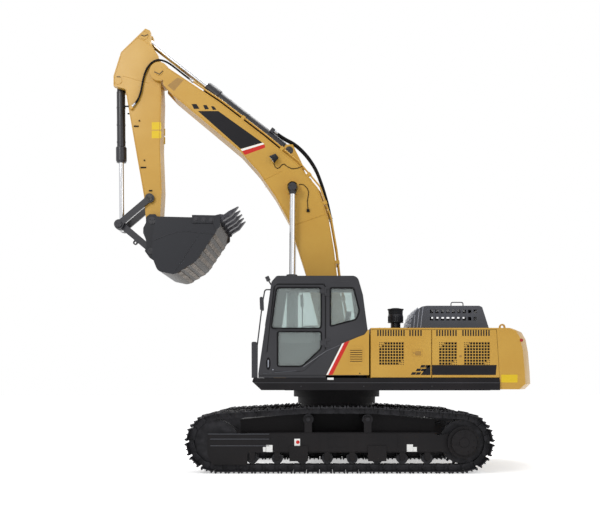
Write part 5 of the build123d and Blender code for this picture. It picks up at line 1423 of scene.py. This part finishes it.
bm = bmesh.new()
for side in (-1, 1):
    near, far = side * 0.2003, side * 0.2016
    plate(bm, rect(-3.272, 5.793, -3.104, 5.925), near, far, 0.008)
    plate(bm, rect(-3.272, 5.945, -3.104, 6.077), near, far, 0.008)
piece("stick_plates", bm, YELLOW_FILM, "stick")

# %% [markdown]
# The boom's work lamp is a round pot with a fluted lens, on a short stem. It faces forward and down, so
# its rings are bars along that direction.

# %% Work lamp on the boom
bm, lens = bmesh.new(), bmesh.new()
LAMP = Vector((-1.094, -0.2815, 5.410))
FACING = Vector((-0.80, 0, -0.60))
POT = LAMP + Vector((0, -0.075, 0))
bar(bm, LAMP + Vector((0, 0.003, 0)), LAMP + Vector((0, -0.030, 0)), 0.030, 20)
bar(bm, POT - 0.055 * FACING, POT + 0.040 * FACING, 0.048, 28, 0.070)
bar(bm, POT + 0.038 * FACING, POT + 0.056 * FACING, 0.074, 28)
bar(lens, POT + 0.055 * FACING, POT + 0.062 * FACING, 0.064, 28, 0.056)
piece("boom_lamp_pot", bm, TRIM_AND_SHADE, "boom")
piece("boom_lamp_lens", lens, LAMP_LENS, "boom")

# %% [markdown]
# ## Cylinders
# A hydraulic cylinder is a honed tube with a screwed gland at its rod end. Bolts hold the gland, band
# clamps hold the pipe that feeds the rod end, and that pipe runs along the tube to a port block. All
# of these follow the cylinder's axis, so each is placed along a line from its base pin to its rod pin.

# %% Glands, clamps and feed pipes
CYLINDERS = [
    # CAD node, body, base pin, rod pin, y, barrel radius, rod's bore, side of the feed pipe
    ("boom_cylinder_left_barrel", "boom_barrel_left", BOOM_CYLINDER_BASE, BOOM_CYLINDER_TIP,
     -BOOM_CYLINDER_Y, 0.0875, 0.050, 1),
    ("boom_cylinder_right_barrel", "boom_barrel_right", BOOM_CYLINDER_BASE, BOOM_CYLINDER_TIP,
     BOOM_CYLINDER_Y, 0.0875, 0.050, -1),
    ("stick_cylinder_barrel", "stick_barrel", (-0.841, 5.597), (-3.402, 7.607), 0.0, 0.0900, 0.055, 1),
    ("bucket_cylinder_barrel", "bucket_barrel", (-3.864, 6.811), (-3.845, 4.267), 0.0, 0.0750, 0.048, 1),
]
for node, body, base, tip, y, radius, bore, pipe_side in CYLINDERS:
    base, tip = Vector((base[0], y, base[1])), Vector((tip[0], y, tip[1]))
    along = (tip - base).normalized()
    beside = Vector((0, pipe_side, 0))
    end = max((v.co - base).dot(along) for v in frame["nodes"][node].data.vertices)
    bm = bmesh.new()
    gland = [(-0.280, radius + 0.006), (-0.262, radius + 0.020), (-0.030, radius + 0.020),
             (-0.010, radius + 0.006), (0.004, radius - 0.008), (0.004, bore), (-0.280, bore)]
    sleeve(bm, base + end * along, along, gland)
    bolt_ring(bm, base + (end - 0.262) * along, -along, radius + 0.008, 12, 0.007, 0.012)
    for share in (0.30, 0.52, 0.74):
        at = base + share * end * along
        sleeve(bm, at, along, rect(-0.012, radius + 0.004, 0.012, radius - 0.002))
        foot = at + (radius + 0.010) * beside
        block(bm, foot - Vector((0.02, 0.02, 0.02)), foot + Vector((0.02, 0.02, 0.02)), 0.004)
    bar(bm, base + 0.26 * end * along + (radius + 0.016) * beside,
        base + (end - 0.20) * along + (radius + 0.016) * beside, 0.012, 12)
    piece("gland_" + node, bm, BLACK, body)
    print(node, "ends", round(end, 3), "m from its base pin")

# %% [markdown]
# ## Bucket
# Wear strips are welded across the belly. A strip is a thin wedge that lies on the shell, so the
# belly's line is given once and walked.

# %% Wear strips
BELLY = [(-2.774, 3.308), (-2.400, 3.540), (-2.050, 4.060)]
STRIPS = (3, 4)          # on each run of the belly's line
BUCKET_SIDE = 0.795
bm = bmesh.new()
for (x0, z0), (x1, z1), count in zip(BELLY, BELLY[1:], STRIPS):
    run = Vector((x1 - x0, 0, z1 - z0))
    out = Vector((run.z, 0, -run.x)).normalized()
    run.normalize()
    length = math.hypot(x1 - x0, z1 - z0)
    for i in range(count):
        middle = Vector((x0, 0, z0)) + run * length * (i + 0.7) / (count + 0.4)
        foot, head = middle - 0.035 * run, middle + 0.035 * run
        section = [foot - 0.006 * out, foot + 0.010 * out, head + 0.014 * out, head - 0.006 * out]
        plate(bm, [(p.x, p.z) for p in section], -BUCKET_SIDE + 0.02, BUCKET_SIDE - 0.02)
piece("belly_wear_strips", bm, BUCKET_STEEL, "bucket")

# %% [markdown]
# A curved weld seam crosses each side plate, and three bolts hold the side cutter on. The seam follows
# a smooth line through a few points, as the hoses do.

# %% Seams and bolts of the side plates
bm = bmesh.new()
SEAM = [(-3.140, 3.880), (-2.905, 3.996), (-2.610, 4.061), (-2.332, 4.020), (-2.120, 4.000)]
for side in (-1, 1):
    y = side * (BUCKET_SIDE + 0.001)
    curve = line_points(hose_line("bucket_seam", [(x, y, z) for x, z in SEAM]))
    bead(bm, curve, 0.007, 6)
    bead(bm, [(-2.365, y, 3.980), (-2.758, y, 3.373)], 0.005, 6)
    for x, z in ((-2.400, 4.245), (-2.270, 4.240), (-2.140, 4.235)):
        cap = side * (BUCKET_SIDE + 0.022)
        bar(bm, (x, cap, z), (x, cap + side * 0.020, z), 0.036, 6, 0.030)
        bar(bm, (x, cap, z), (x, cap + side * 0.006, z), 0.046, 20)
piece("bucket_seams_and_bolts", bm, BLACK, "bucket")

# %% [markdown]
# The cutting edge carries five forged tooth adaptors. Each has two cheeks, a body over the edge and a
# pin that locks the tooth.

# %% Tooth adaptors
TOOTH_STEP = 0.3535
CHEEK = [(-2.130, 4.222), (-1.960, 4.200), (-1.905, 4.330), (-1.960, 4.335), (-2.130, 4.305)]
ADAPTOR = [(-2.150, 4.288), (-1.990, 4.288), (-1.935, 4.340), (-2.000, 4.348), (-2.150, 4.312)]
bm = bmesh.new()
for i in (-2, -1, 0, 1, 2):
    y = i * TOOTH_STEP
    for cheek_y in (y - 0.058, y + 0.058):
        plate(bm, CHEEK, cheek_y - 0.004, cheek_y + 0.004)
    plate(bm, ADAPTOR, y - 0.050, y + 0.050)
    bar(bm, (-1.930, y - 0.070, 4.295), (-1.930, y + 0.070, 4.295), 0.014, 12)
piece("tooth_adaptors", bm, TOOTH_STEEL, "bucket")

# %% [markdown]
# ## Studio
# A white floor and a white surround, seen as pure white, hold no colour of their own. The floor takes
# light as matt white does, and adds a little white of its own, so it is white where it is lit and
# still shows the machine's soft shadow. Three large soft lamps give the plate its highlights.

# %% Floor and surround
OWN_WHITE = 0.46
WORLD_LIGHT = 0.55


def seen_directly(tree):
    """1 for a ray that the eye, a mirror or clear glass sends out, and 0 for one that only lights."""
    path = add(tree, "LightPath")
    seen = add(tree, "Math", {"operation": "ADD"}, {0: path.outputs["Is Camera Ray"],
                                                    1: path.outputs["Is Glossy Ray"]}).outputs[0]
    return add(tree, "Math", {"operation": "ADD", "use_clamp": True},
               {0: seen, 1: path.outputs["Is Transmission Ray"]}).outputs[0]


def white_floor():
    floor_mesh = bpy.data.meshes.new("floor")
    bm = bmesh.new()
    bmesh.ops.create_grid(bm, x_segments=1, y_segments=1, size=80)
    bm.to_mesh(floor_mesh)
    bm.free()
    floor = bpy.data.objects.new("floor", floor_mesh)
    bpy.context.collection.objects.link(floor)
    material, tree, shader, where = new_finish("matt_studio_floor", 0.95)
    shader.inputs["Base Color"].default_value = linear("#ffffff")
    grain = add(tree, "TexNoise", {"Scale": 0.5}, {"Vector": where}).outputs["Fac"]
    dull = add(tree, "MapRange", {"To Min": 0.9, "To Max": 1.0}, {"Value": grain}).outputs[0]
    tree.links.new(dull, shader.inputs["Roughness"])
    share = add(tree, "Math", {"operation": "MULTIPLY", 1: OWN_WHITE}, {0: seen_directly(tree)}).outputs[0]
    white = add(tree, "Emission", {"Color": linear("#ffffff")}, {"Strength": share})
    both = add(tree, "AddShader", {}, {0: shader.outputs[0], 1: white.outputs[0]})
    tree.links.new(both.outputs[0], tree.nodes["Material Output"].inputs["Surface"])
    floor_mesh.materials.append(material)
    floor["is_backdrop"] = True


def white_surround():
    world = bpy.data.worlds.new("surround")
    bpy.context.scene.world = world
    world.use_nodes = True
    tree = world.node_tree
    tree.nodes.clear()
    light = add(tree, "Background", {"Color": linear("#ffffff"), "Strength": WORLD_LIGHT})
    white = add(tree, "Background", {"Color": linear("#ffffff"), "Strength": 1.0})
    both = add(tree, "MixShader", {}, {0: seen_directly(tree), 1: light.outputs[0], 2: white.outputs[0]})
    out = tree.nodes.new("ShaderNodeOutputWorld")
    tree.links.new(both.outputs[0], out.inputs[0])


white_floor()
white_surround()
print("floor and surround are white, and the surround lights at", WORLD_LIGHT)


# %% Lamps
def lamp(name, place, target, size, power):
    data = bpy.data.lights.new(name, "AREA")
    data.shape = "DISK"
    data.size = size
    data.energy = power
    thing = bpy.data.objects.new(name, data)
    bpy.context.collection.objects.link(thing)
    thing.location = place
    thing.rotation_euler = (Vector(target) - Vector(place)).to_track_quat("-Z", "Y").to_euler()


lamp("key_lamp", (-9, -13, 12), (-0.5, 0, 3), 6, 980)
lamp("fill_lamp", (10, -12, 7), (0.5, 0, 2), 7, 260)
lamp("top_lamp", (0, 3, 15), (-0.5, 0, 3), 8, 900)
bpy.context.scene.view_settings.view_transform = "Standard"
print("lamps:", [light.name for light in bpy.data.lights])

# %% Print the size of the visual box
low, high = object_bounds()
print("visual box", [round(v, 3) for v in low], [round(v, 3) for v in high])
